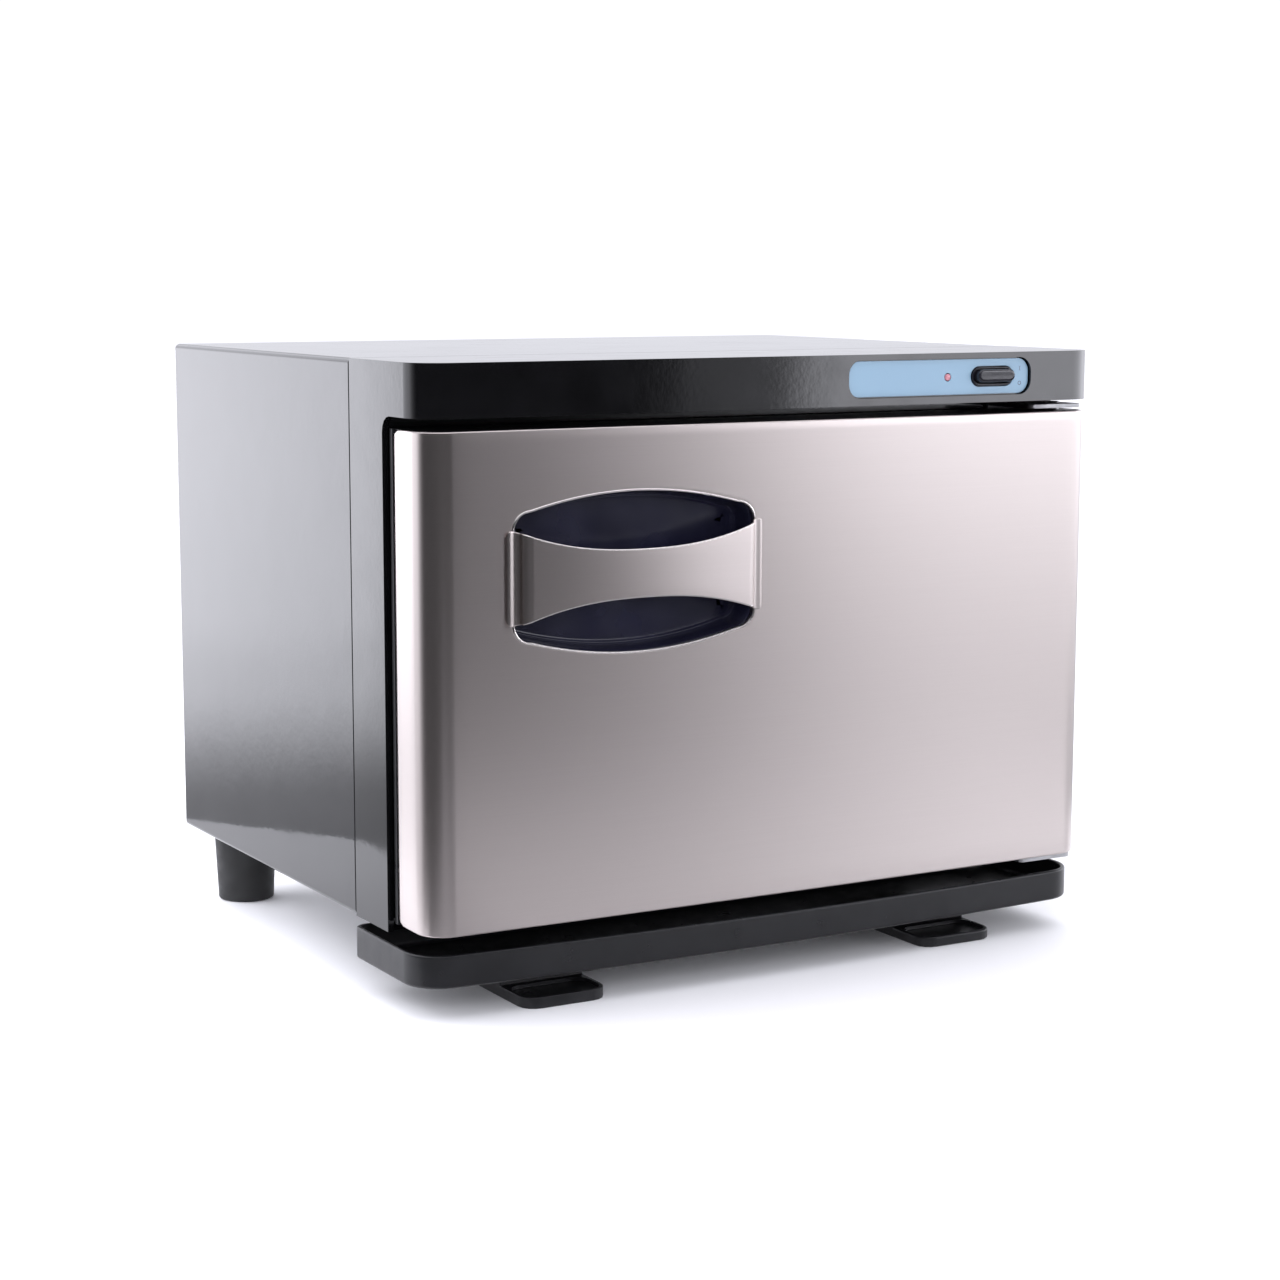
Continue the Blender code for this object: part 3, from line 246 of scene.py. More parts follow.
ENAMEL = enamel()
GLOSS = gloss_plastic()
RECESS = recess_plastic()
SATIN = satin_plastic()
STEEL = brushed_steel()
ALUMINIUM = rolled_aluminium()
ZINC = metal("bright_zinc", (0.50, 0.50, 0.51), (0.66, 0.66, 0.67), 0.24, 0.40)
# Smoother, lighter stainless for the rolled edges: the smoothness is the polish, the lighter colour a
# painted highlight.
POLISHED_HIGHLIGHT = metal("polished_highlight_stainless", (0.70, 0.66, 0.64), (0.78, 0.74, 0.72), 0.20, 0.28, 60.0, 0.000002)
# Darker copy of the bright zinc for the hinge plates, which sit in the gaps above and below the door: the
# darker colour is painted shade, the higher roughness a duller finish.
DULL_SHADED_ZINC = metal("dull_shaded_zinc", (0.42, 0.42, 0.43), (0.54, 0.54, 0.55), 0.34, 0.48)
CHROME = metal("chromed_wire", (0.72, 0.72, 0.73), (0.82, 0.82, 0.83), 0.06, 0.13, 60.0, 0.000002)
FOIL = metal("heater_foil", (0.70, 0.70, 0.71), (0.86, 0.86, 0.87), 0.18, 0.34, 40.0, 0.00005)
FERRITE = metal("magnet_case", (0.05, 0.05, 0.055), (0.09, 0.09, 0.095), 0.45, 0.60, 300.0)
SILVER_PAPER = metal("label_paper", (0.55, 0.55, 0.56), (0.66, 0.66, 0.67), 0.38, 0.50, 200.0)
RUBBER = dull("black_rubber", (0.012, 0.012, 0.012), (0.024, 0.024, 0.025), 0.52, 0.68)
SILICONE = dull("grey_silicone", (0.15, 0.15, 0.16), (0.21, 0.21, 0.22), 0.42, 0.56, 200.0)
NYLON = dull("white_nylon", (0.68, 0.68, 0.65), (0.78, 0.78, 0.76), 0.35, 0.48, 200.0)
WOOL = dull("mineral_wool", (0.52, 0.47, 0.30), (0.78, 0.74, 0.60), 0.90, 0.98, 250.0, 0.0006)
FOAM = dull("door_foam", (0.66, 0.60, 0.42), (0.80, 0.76, 0.58), 0.85, 0.95, 300.0, 0.0003)
SWITCH = dull("switch_plastic", (0.008, 0.008, 0.011), (0.014, 0.014, 0.019), 0.13, 0.20, 260.0, 0.000002,
              IOR=1.55)
PRINT = dull("dark_print", (0.045, 0.055, 0.085), (0.070, 0.080, 0.110), 0.35, 0.45, 600.0, 0.000002)
FILM = blue_film()
LENS = lamp_red()
RED = dull("red_insulation", (0.36, 0.015, 0.015), (0.50, 0.03, 0.03), 0.35, 0.48)
BROWN = dull("brown_insulation", (0.09, 0.035, 0.014), (0.14, 0.06, 0.03), 0.35, 0.48)
GREY = dull("grey_insulation", (0.24, 0.24, 0.25), (0.33, 0.33, 0.34), 0.40, 0.52)


# ---------------- outlines
def arc(centre, radius, start, end, steps):
    """Points along an arc; angles in degrees, anticlockwise from the first axis."""
    points = []
    for step in range(steps + 1):
        angle = math.radians(start + (end - start) * step / steps)
        points.append((centre[0] + radius * math.cos(angle), centre[1] + radius * math.sin(angle)))
    return points


def rounded(low, high, radius, steps=8):
    """Anticlockwise rounded rectangle between two opposite corners."""
    left, right, bottom, top = low[0] + radius, high[0] - radius, low[1] + radius, high[1] - radius
    points = []
    for index, centre in enumerate(((right, bottom), (right, top), (left, top), (left, bottom))):
        points += arc(centre, radius, 90 * index - 90, 90 * index, steps)
    return points


def pill(centre, width, height, steps=12):
    """Outline with round ends."""
    u, v = centre
    radius = height / 2 * 0.999
    return rounded((u - width / 2, v - height / 2), (u + width / 2, v + height / 2), radius, steps)


def quarter(steps, first=0, last=None):
    """(Sine, cosine) at equal steps of a quarter turn."""
    last = steps if last is None else last
    angles = [math.radians(90 * step / steps) for step in range(first, last + 1)]
    return [(math.sin(angle), math.cos(angle)) for angle in angles]


def circle(centre, radius, steps=24):
    """Closed outline of a circle, anticlockwise."""
    return arc(centre, radius, 0, 360 - 360 / steps, steps - 1)


def offset(outline, distance):
    """The anticlockwise outline moved inwards by a distance, corner by corner."""
    moved = []
    count = len(outline)
    for index in range(count):
        before, here, after = (Vector(outline[(index + k) % count]) for k in (-1, 0, 1))
        first, second = (here - before).normalized(), (after - here).normalized()
        inward = Vector((-first.y - second.y, first.x + second.x))
        if inward.length < 1e-9:
            inward = Vector((-first.y, first.x))
        inward.normalize()
        share = max(0.35, inward.dot(Vector((-first.y, first.x))))
        moved.append(tuple(here + inward * (distance / share)))
    return moved


def front_view(u, v, w):
    """Outlines drawn in x and z; w is the depth."""
    return at(u, w, v)


def plan_view(u, v, w):
    """Outlines drawn in x and depth; w is the height."""
    return at(u, v, w)


# ---------------- mesh helpers
def placed(name, data):
    """A new object in the scene with the data."""
    obj = bpy.data.objects.new(name, data)
    bpy.context.scene.collection.objects.link(obj)
    return obj


def new_object(name, points, faces):
    """A mesh object in the scene."""
    mesh = bpy.data.meshes.new(name)
    mesh.from_pydata([tuple(point) for point in points], [], faces)
    mesh.validate()
    return placed(name, mesh)


def from_bmesh(name, body):
    """A new object with the edited mesh, which is freed."""
    mesh = bpy.data.meshes.new(name)
    body.to_mesh(mesh)
    body.free()
    return placed(name, mesh)


def as_seen(obj):
    """The object's mesh with its modifiers or its curve carried out."""
    return bpy.data.meshes.new_from_object(obj.evaluated_get(bpy.context.evaluated_depsgraph_get()))


def join_rings(rings, start=0):
    """Quads between neighbouring closed rings of points, numbered from start."""
    count = len(rings[0])
    faces = []
    for row in range(len(rings) - 1):
        first, second = ([start + (row + k) * count + here for here in range(count)] for k in (0, 1))
        faces += strip(first, second)
    return faces


def strip(first, second):
    """Quads between two closed rows of vertex numbers."""
    count = len(first)
    return [(first[k], first[(k + 1) % count], second[(k + 1) % count], second[k]) for k in range(count)]


def capped(points, faces, first, count):
    """Adds a flat end over the ring that starts at a point number."""
    ring = [Vector(point) for point in points[first:first + count]]
    faces += [tuple(first + k for k in triangle) for triangle in tessellate_polygon([ring])]


def loft(name, rings):
    """Skin over rings of points, with flat ends."""
    points = [point for ring in rings for point in ring]
    faces = join_rings(rings)
    count = len(rings[0])
    for first in (0, len(points) - count):
        capped(points, faces, first, count)
    return new_object(name, points, faces)


def ring_loft(name, rings):
    """Skin over rings of points, the last ring joined to the first."""
    points = [point for ring in rings for point in ring]
    faces = join_rings(rings + [rings[0]])
    return new_object(name, points, [tuple(k % len(points) for k in face) for face in faces])


def slab(name, loops, low, high, place, edge=0.0003, steps=3):
    """Plate between two depths with rounded edges. The first loop is outside, the others are holes."""
    points, faces, ends = [], [], ([], [])
    for index, loop in enumerate(loops):
        way = 1.0 if index == 0 else -1.0
        turns = [(edge * (1 - sine), edge * (1 - cosine)) for sine, cosine in quarter(steps)]
        levels = [(inset, low + rise) for inset, rise in turns]
        levels += [(inset, high - rise) for inset, rise in reversed(turns)]
        rings = [[place(u, v, w) for u, v in offset(loop, way * inset)] for inset, w in levels]
        start = len(points)
        points += [point for ring in rings for point in ring]
        faces += join_rings(rings, start)
        ends[0].append((start, len(loop)))
        ends[1].append((start + len(loop) * (len(rings) - 1), len(loop)))
    for cap in ends:
        numbers = [first + k for first, count in cap for k in range(count)]
        outlines = [[points[first + k] for k in range(count)] for first, count in cap]
        faces += [tuple(numbers[k] for k in triangle) for triangle in tessellate_polygon(outlines)]
    return new_object(name, points, faces)


def plate(name, loops, edge, steps, low, high):
    """Slab drawn from the front, as deep as a box."""
    return slab(name, loops, *depths(low, high), front_view, edge, steps)


def turned_rings(profile, centre, axis, sides):
    """Rings of a (radius, distance along the axis) profile turned about the axis."""
    turn = Vector(axis).to_track_quat('Z', 'Y').to_matrix()
    rings = []
    for radius, along in profile:
        ring = []
        for side in range(sides):
            angle = 2 * math.pi * side / sides
            local = Vector((radius * math.cos(angle), radius * math.sin(angle), along))
            ring.append(Vector(centre) + turn @ local)
        rings.append(ring)
    return rings


def turned(name, profile, centre, axis, sides):
    """The turned profile as a piece closed at both ends."""
    return loft(name, turned_rings(profile, centre, axis, sides))


def soften(profile, radius, steps=4):
    """The profile with its inner points replaced by small arcs."""
    result = [profile[0]]
    for before, here, after in zip(profile, profile[1:], profile[2:]):
        corner = Vector(here)
        back, on = Vector(before) - corner, Vector(after) - corner
        reach = min(radius, back.length * 0.45, on.length * 0.45)
        first, last = corner + back.normalized() * reach, corner + on.normalized() * reach
        for step in range(steps + 1):
            t = step / steps
            result.append(tuple(first * (1 - t) ** 2 + corner * 2 * t * (1 - t) + last * t * t))
    result.append(profile[-1])
    return result


def wire(name, points, radius, cyclic=False):
    """Round wire through the points, as a mesh."""
    curve = bpy.data.curves.new(name, 'CURVE')
    curve.dimensions = '3D'
    curve.bevel_depth = radius
    curve.bevel_resolution = 4
    curve.use_fill_caps = True
    spline = curve.splines.new('POLY')
    spline.points.add(len(points) - 1)
    spline.use_cyclic_u = cyclic
    for point, place in zip(spline.points, points):
        point.co = (*place, 1.0)
    source = placed(name, curve)
    mesh = as_seen(source)
    bpy.data.objects.remove(source, do_unlink=True)
    return placed(name, mesh)


def merged(name, parts):
    """Several objects' meshes in one object."""
    body = bmesh.new()
    for part in parts:
        part.data.transform(part.matrix_world)
        body.from_mesh(part.data)
        bpy.data.objects.remove(part, do_unlink=True)
    return from_bmesh(name, body)


def cut_by(obj, tool):
    """Takes the tool's shape out of the object."""
    change = obj.modifiers.new("cut", 'BOOLEAN')
    change.operation = 'DIFFERENCE'
    change.solver = 'EXACT'
    change.object = tool
    mesh = as_seen(obj)
    obj.modifiers.clear()
    obj.data = mesh
    bpy.data.objects.remove(tool, do_unlink=True)
    return obj


def eased(name, node, width, segments):
    """The CAD node's shape as a new piece with its sharp edges rounded."""
    body = bmesh.new()
    body.from_mesh(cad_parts[node].data)
    bmesh.ops.remove_doubles(body, verts=body.verts, dist=0.000002)
    bmesh.ops.dissolve_limit(body, angle_limit=math.radians(0.5), verts=body.verts, edges=body.edges)
    sharp = [edge for edge in body.edges
             if len(edge.link_faces) == 2 and edge.calc_face_angle() > math.radians(40)]
    bmesh.ops.bevel(body, geom=sharp, offset=width, segments=segments, profile=0.5, affect='EDGES',
                    clamp_overlap=True)
    return from_bmesh(name, body)


def dress(obj, material, body, replaces=(), crease=40):
    """Outward faces, even shading, material, and the body that the piece rides on."""
    mesh = bmesh.new()
    mesh.from_mesh(obj.data)
    bmesh.ops.recalc_face_normals(mesh, faces=mesh.faces)
    mesh.to_mesh(obj.data)
    mesh.free()
    obj.data.shade_smooth()
    obj.data.set_sharp_from_angle(angle=math.radians(crease))
    weighted = obj.modifiers.new("even_shading", 'WEIGHTED_NORMAL')
    weighted.keep_sharp = True
    weighted.weight = 80
    obj.data.materials.clear()
    obj.data.materials.append(material)
    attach(obj, body)
    if replaces:
        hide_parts(*replaces)
    return obj


def mould(name, node, width, material, body, segments=2):
    """Dresses the CAD node's own shape with its edges rounded."""
    return dress(eased(name, node, width, segments), material, body, [node])


def paint(node, material):
    """A CAD node that stays takes a detailed material."""
    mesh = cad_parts[node].data
    mesh.materials.clear()
    mesh.materials.append(material)


# ---------------- casing, fascia and controls
def casing():
    """Enamelled sheet bent over the top and both sides, with a narrow flange under each side."""
    radius, reach = 0.0025, 0.0055
    bends = [(-1, BASE + radius, 270), (-1, TOP - radius, 180), (1, TOP - radius, 90), (1, BASE + radius, 0)]
    line = [(-HALF + reach, BASE)]
    for side, z, start in bends:
        line += arc((side * (HALF - radius), z), radius, start, start - 90, 8)
    line += [(HALF - reach, BASE), (HALF - reach, BASE + SHEET)]
    for side, z, end in reversed(bends):
        line += arc((side * (HALF - radius), z), radius - SHEET, end - 90, end, 8)
    line.append((-HALF + reach, BASE + SHEET))
    shell = slab("casing_shell", [list(reversed(line))], behind(CASING_LOW.y) + SEAM, behind(CASING_HIGH.y),
                 front_view, 0.0003, 2)
    dress(shell, ENAMEL, "cabinet", ["outer_casing"], 30)


def rear_panel():
    """Powder-coated rear panel with two rows of slots, screw holes and the hole for the cord's bush."""
    low, high = PANEL_LOW, PANEL_HIGH
    loops = [rounded((low.x, low.z), (high.x, high.z), 0.0025)]
    slots, pitch, drop = 5, 0.0275, 0.010
    for row in range(2):
        for column in range(slots):
            centre = (-0.055 + pitch * column, TOP - 0.032 - drop * row)
            loops.append(pill(centre, 0.021, 0.0045, 8))
    for index in range(1, 5):
        place = middle("rear_screw_%d" % index)
        loops.append(circle((place.x, place.z), 0.0019, 20))
    gland = middle("cord_gland")
    loops.append(circle((gland.x, gland.z), 0.0063, 32))
    sheet = plate("rear_sheet", loops, 0.00025, 2, low, high)
    dress(sheet, SATIN, "cabinet", ["rear_panel"])


def cross_recess(name, centre, axis, size, depth):
    """Two crossed tapered blades, as the driver recess of a screw."""
    turn = Vector(axis).to_track_quat('Z', 'Y').to_matrix()
    corners = ((-1, -1), (1, -1), (1, 1), (-1, 1))
    thin = size * 0.24
    blades = []
    for index, (across, along) in enumerate(((size, thin), (thin, size))):
        rings = []
        for share, height in ((0.45, -depth), (1.0, depth * 0.6)):
            reach_u, reach_v = across * share / 2, along * max(share, 0.7) / 2
            rings.append([Vector(centre) + turn @ Vector((u * reach_u, v * reach_v, height))
                          for u, v in corners])
        blades.append(loft("%s_%d" % (name, index), rings))
    return blades


def pan_screw(name, node, axis, radius, height):
    """Pan-head screw with a cross recess. The head sits at the node's outer end along the axis."""
    low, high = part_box(node)
    centre = (low + high) / 2
    way = Vector(axis)
    outer = max(way.dot(low), way.dot(high))
    seat = centre + way * (outer - height - way.dot(centre))
    lip = 0.00015
    profile = [(radius * 0.985, 0.0), (radius, lip)]
    for sine, cosine in quarter(8, 1, 7):
        profile.append((radius * (0.34 + 0.66 * cosine ** 0.7), lip + (height - lip) * sine))
    profile.append((radius * 0.3, height))
    head = turned(name, profile, seat, axis, 32)
    for blade in cross_recess(name + "_recess", seat + way * height, axis, radius * 1.05, height * 0.62):
        cut_by(head, blade)
    dress(head, ZINC, "cabinet", [node], 35)


def cord_gland():
    """Ribbed rubber bush for the supply cord."""
    low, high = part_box("cord_gland")
    length = high.y - low.y
    flange = length - (high.y - PANEL_HIGH.y) + 0.0003
    outside = soften([(0.0060, 0.0), (0.0060, flange), (0.0100, flange), (0.0100, flange + 0.0024),
                      (0.0080, flange + 0.0028), (0.0078, length - 0.0035), (0.0074, length - 0.0008),
                      (0.0060, length)], 0.0005)
    inside = soften([(0.0060, length), (0.0042, length), (0.0038, length - 0.0010), (0.0038, 0.0),
                     (0.0060, 0.0)], 0.0004)
    base = Vector(((low.x + high.x) / 2, low.y, (low.z + high.z) / 2))
    bush = ring_loft("gland_bush", turned_rings(outside + inside[1:-1], base, (0, 1, 0), 40))
    dress(bush, RUBBER, "cabinet", ["cord_gland"], 35)


def rating_plate():
    """Blank silver label with a printed border and ruled fields."""
    low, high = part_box("rating_label")
    sheet = plate("label_sheet", [rounded((low.x, low.z), (high.x, high.z), 0.002)], 0.0001, 1, low, high)
    dress(sheet, SILVER_PAPER, "cabinet", ["rating_label"])
    margin, line, indent = 0.002, 0.0005, 0.005
    outlines = [[rounded((low.x + inset, low.z + inset), (high.x - inset, high.z - inset), radius)
                 for inset, radius in ((margin, 0.0015), (margin + line, 0.0011))]]
    for index in range(4):
        z = low.z + 0.009 + 0.0072 * index
        left, right, top = low.x + indent, high.x - indent, z + 0.0004
        outlines.append([[(left, z), (right, z), (right, top), (left, top)]])
    rules = [slab("label_rule_%d" % index, loops, behind(high.y) - 0.00005, behind(high.y) + 0.00006,
                  front_view, 0.00002, 1) for index, loops in enumerate(outlines)]
    dress(merged("label_rules", rules), PRINT, "cabinet")


def control_overlay():
    """Film in the header's pocket, open round the switch and the lamp, with the two switch marks."""
    low, high = PLATE_LOW, PLATE_HIGH
    switch, lamp = middle("switch_rocker"), middle("power_lamp")
    mid_z = (low.z + high.z) / 2
    loops = [rounded((low.x, low.z), (high.x, high.z), 0.006, 12), pill((switch.x, mid_z), 0.0242, 0.0094),
             circle((lamp.x, mid_z), 0.0019)]
    film = plate("control_overlay", loops, 0.00012, 2, low, high)
    dress(film, FILM, "cabinet", ["control_plate"])
    mark_x, rise = high.x - 0.0048, 0.0034
    ring = [circle((mark_x, mid_z - rise), radius) for radius in (0.00095, 0.00065)]
    bar = [pill((mark_x, mid_z + rise), 0.00036, 0.0019)]
    marks = [slab(name, outlines, behind(low.y) - 0.00006, behind(low.y) + 0.00005, front_view, 0.00002, 1)
             for name, outlines in (("off_mark", ring), ("on_mark", bar))]
    dress(merged("switch_marks", marks), PRINT, "cabinet")


def switch_housing():
    """Oval neck with a rolled rim, and the case behind the header."""
    low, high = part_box("switch_body")
    centre = (middle("switch_rocker").x, (low.z + high.z) / 2)
    front, rear = depths(low, high)
    neck = slab("neck", [pill(centre, 0.0234, 0.0086), pill(centre, 0.0214, 0.0066)],
                front, front + 0.0045, front_view, 0.0004, 4)
    case = slab("case", [rounded((low.x, low.z), (high.x, high.z), 0.001)], front + 0.0040, rear,
                front_view, 0.0005, 2)
    dress(merged("switch_housing", [neck, case]), SWITCH, "cabinet", ["switch_body"])


def switch_cap():
    """Rocker cap: a pill with a crowned face, tipped so that its upper edge is pressed in."""
    pivot = at(middle("switch_rocker").x, 0.0015, (PLATE_LOW.z + PLATE_HIGH.z) / 2)
    length, half, tilt = 0.0206, 0.0029, -7.0

    def crown(v, w):
        """The face falls away more and more towards its lower edge."""
        drop = 1 - (v - pivot.z) / half
        return w + half * (0.038 * drop + 0.0297 * drop ** 2) * min(max((0.001 - w) / 0.002, 0.0), 1.0)

    levels = [(0.0004, 0.0036), (0.0, 0.0032), (0.0, 0.0010), (0.0, -0.0018), (0.0001, -0.0022),
              (0.0003, -0.0025), (0.0006, -0.0027), (0.0012, -0.0027), (0.0018, -0.0027), (0.0024, -0.0027)]
    outline = pill((pivot.x, pivot.z), length, 2 * half, 14)
    cap = loft("rocker_cap", [[front_view(u, v, crown(v, w)) for u, v in offset(outline, inset)]
                              for inset, w in levels])
    turn = Matrix.Rotation(math.radians(tilt), 4, 'X')
    cap.data.transform(Matrix.Translation(pivot) @ turn @ Matrix.Translation(-pivot))
    dress(cap, SWITCH, "rocker", ["switch_rocker"], 60)


def lamp_lens():
    """Small lens with a domed face."""
    low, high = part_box("power_lamp")
    radius, length, dome = (high.x - low.x) / 2, high.y - low.y, 0.0008
    profile = [(radius * 0.9, 0.0), (radius, 0.0003), (radius, length - dome)]
    profile += [(radius * cosine, length - dome + dome * sine) for sine, cosine in quarter(7, 1, 6)]
    base = Vector(((low.x + high.x) / 2, high.y, (low.z + high.z) / 2))
    lens = turned("lamp_lens", profile, base, (0, -1, 0), 32)
    dress(lens, LENS, "cabinet", ["power_lamp"], 60)


# ---------------- door
PULL = Vector(((CUP_LOW.x + CUP_HIGH.x) / 2, (CUP_LOW.z + CUP_HIGH.z) / 2))    # its centre, in x and z
PULL_HALF = (CUP_HIGH.x - CUP_LOW.x) / 2 - 0.004    # the cup is 4 mm wider than its mouth at each end
MOUTH_MID, MOUTH_END = 0.0345, 0.0275        # half heights of the recess, in its middle and at its ends
MOUTH_CORNER = 0.008
STRAP_MID, STRAP_END = 0.0105, 0.0197        # half heights of the strap
STRAP_THICK = 0.0011
STRAP_BOW = 0.0016
STRAP_REACH = (STRAP_HIGH.x - STRAP_LOW.x) / 2      # middle of the pull to the end of a foot
STRAP_WALL = PULL_HALF - 0.0015              # middle of the pull to the strap's end walls
STRAP_TURN = 0.0045                          # radius from an end wall to the bridge
STRAP_FOOT_RADIUS = 0.0035
DOOR_HALF = DOOR_HIGH.x
DOOR_RADIUS = 0.013                          # upright corners
DOOR_BOW = 0.0015
SKIN_REAR = behind(DOOR_HIGH.y)
STRAP_FACE = behind(STRAP_LOW.y)
EDGE = 0.0008                 # radius of the skin's rolled edges


def face_depth(x):
    """Depth of the door's slightly bowed front."""
    return -DOOR_BOW + DOOR_BOW * (x / DOOR_HALF) ** 2


def mouth(grow, steps=36):
    """Barrel-shaped outline of the recess, anticlockwise, in x and z."""
    flat = PULL_HALF - MOUTH_CORNER
    radius = MOUTH_CORNER + grow
    upper = []
    for step in range(steps + 1):
        x = flat - 2 * flat * step / steps
        upper.append((x, MOUTH_MID - (MOUTH_MID - MOUTH_END) * (x / flat) ** 2 + grow))
    right = arc((flat, MOUTH_END - MOUTH_CORNER), radius, 0, 90, 10)
    left = arc((-flat, MOUTH_END - MOUTH_CORNER), radius, 90, 180, 10)
    side = [(-PULL_HALF - grow, z) for z in (0.012, 0.006, 0.0, -0.006, -0.012)]
    top = right[:-1] + upper + left[1:] + side[:3]
    whole = top + [(-x, -z) for x, z in top[1:-1]]
    return [(PULL.x + x, PULL.y + z) for x, z in whole]


def mouth_at(direction, grow):
    """The point where a ray from the pull's centre crosses the recess outline."""
    outline = [Vector(point) - PULL for point in MOUTHS[grow]]
    best = None
    for here, after in zip(outline, outline[1:] + outline[:1]):
        along = after - here
        cross = direction.x * along.y - direction.y * along.x
        if abs(cross) < 1e-12:
            continue
        reach = (here.x * along.y - here.y * along.x) / cross
        share = (here.x * direction.y - here.y * direction.x) / cross
        if reach > 0 and -1e-6 <= share <= 1 + 1e-6 and (best is None or reach < best):
            best = reach
    return PULL + direction * best


def skin_columns():
    """Plan stations round the skin, from left return to right: (x, depth, outward x, outward depth)."""
    inner = DOOR_HALF - DOOR_RADIUS
    corner = face_depth(inner) + DOOR_RADIUS
    stations = []
    for depth in (SKIN_REAR - 0.0008, SKIN_REAR - 0.0025, SKIN_REAR - 0.005, 0.022, 0.017):
        stations.append((-DOOR_HALF, depth, -1.0, 0.0))
    for sine, cosine in quarter(10):
        stations.append((-inner - DOOR_RADIUS * cosine, corner - DOOR_RADIUS * sine, -cosine, -sine))
    left_end = len(stations)
    for x in front_xs(inner)[1:-1]:
        out = Vector((2 * DOOR_BOW * x / DOOR_HALF ** 2, -1.0)).normalized()
        stations.append((x, face_depth(x), out.x, out.y))
    stations += [(-x, depth, -out_x, out_y) for x, depth, out_x, out_y in reversed(stations[:left_end])]
    return stations


BLOCK = (0.072, 0.046)        # half size of the finer patch of the skin round the recess
BLOCK_STEPS = (60, 40)


def spaced(start, end, step):
    """Even stations from start to end, about a step apart."""
    count = max(1, round((end - start) / step))
    return [start + (end - start) * k / count for k in range(count + 1)]


def patch_steps(index):
    """Even stations across the finer patch, along one of its two directions."""
    low, size, count = PULL[index] - BLOCK[index], 2 * BLOCK[index], BLOCK_STEPS[index]
    return [low + size * k / count for k in range(count + 1)]


def front_xs(inner):
    """Stations across the flat part of the door's front."""
    left, right = spaced(-inner, PULL.x - BLOCK[0], 0.006), spaced(PULL.x + BLOCK[0], inner, 0.007)
    return left[:-1] + patch_steps(0) + right[1:]


def skin_levels():
    """(Inset, height) rows of the skin, with the edges turned in at the bottom and the top."""
    patch = patch_steps(1)
    low, high, bend, lip = DOOR_LOW.z, DOOR_HIGH.z, EDGE * 0.3, EDGE + 0.0026
    rows = spaced(low + EDGE, PULL.y - BLOCK[1], 0.008)[:-1] + patch
    rows += spaced(PULL.y + BLOCK[1], high - EDGE, 0.004)[1:]
    levels = [(lip, low), (EDGE, low), (bend, low + bend)] + [(0.0, z) for z in rows]
    return levels + [(bend, high - bend), (EDGE, high), (lip, high)]


def skin_point(column, z, inset):
    """A point of the skin. Towards the rear the returns get shorter, so their corners are round."""
    x, depth, out_x, out_y = column
    notch = 0.006
    reach = max(0.0, depth - (SKIN_REAR - notch))
    mid_z, half_height = (DOOR_LOW.z + DOOR_HIGH.z) / 2, (DOOR_HIGH.z - DOOR_LOW.z) / 2
    shrink = 1.0 - (notch - math.sqrt(max(0.0, notch ** 2 - reach ** 2))) / half_height
    return at(x - out_x * inset, depth - out_y * inset, mid_z + (z - mid_z) * shrink)


def door_panel():
    """Brushed skin: rolled edges, round corners, and a lip turned in round the recess."""
    columns, levels = skin_columns(), skin_levels()
    width, tiny = len(columns), 1e-6
    points = [skin_point(column, z, inset) for inset, z in levels for column in columns]
    cols = [col for col in range(width) if abs(columns[col][0] - PULL.x) < BLOCK[0] + tiny]
    rows = [row for row in range(len(levels)) if abs(levels[row][1] - PULL.y) < BLOCK[1] + tiny]
    faces = []
    for row in range(len(levels) - 1):
        for col in range(width - 1):
            if row not in rows[:-1] or col not in cols[:-1]:
                first, second = row * width + col, (row + 1) * width + col
                faces.append((first, first + 1, second + 1, second))

    ring = [(rows[0], col) for col in cols] + [(row, cols[-1]) for row in rows[1:]]
    ring += [(rows[-1], col) for col in reversed(cols[:-1])]
    ring += [(row, cols[0]) for row in reversed(rows[1:-1])]
    stretch = Vector((PULL_HALF / BLOCK[0], MOUTH_MID / BLOCK[1]))
    starts = [Vector((columns[col][0], levels[row][1])) for row, col in ring]
    borders, lips = ([mouth_at((start - PULL) * stretch, grow) for start in starts] for grow in (EDGE, 0.0))
    stages = [(starts, borders, share, 0.0) for share in (0.22, 0.42, 0.6, 0.75, 0.86, 0.94, 1.0)]
    stages += [(borders, lips, share, EDGE * depth)
               for share, depth in ((0.38, 0.08), (0.71, 0.29), (0.92, 0.62), (1.0, 1.0), (1.0, 2.6))]
    before = [row * width + col for row, col in ring]
    for near, far, share, depth in stages:
        after = [len(points) + k for k in range(len(ring))]
        for start, end in zip(near, far):
            place = start.lerp(end, share)
            points.append(at(place.x, face_depth(place.x) + depth, place.y))
        faces += strip(before, after)
        before = after
    panel = new_object("door_panel", points, faces)
    thickness = panel.modifiers.new("sheet", 'SOLIDIFY')
    thickness.thickness = 0.0006
    thickness.offset = -1.0
    return panel


def strap_half_height(x):
    """Half height at a distance from the middle; the feet's ends are rounded off."""
    height = STRAP_MID + (STRAP_END - STRAP_MID) * (abs(x) / PULL_HALF) ** 2.4
    past = abs(x) - (STRAP_REACH - STRAP_FOOT_RADIUS)
    if past > 0:
        height -= STRAP_FOOT_RADIUS - math.sqrt(max(0.0, STRAP_FOOT_RADIUS ** 2 - past ** 2))
    return height


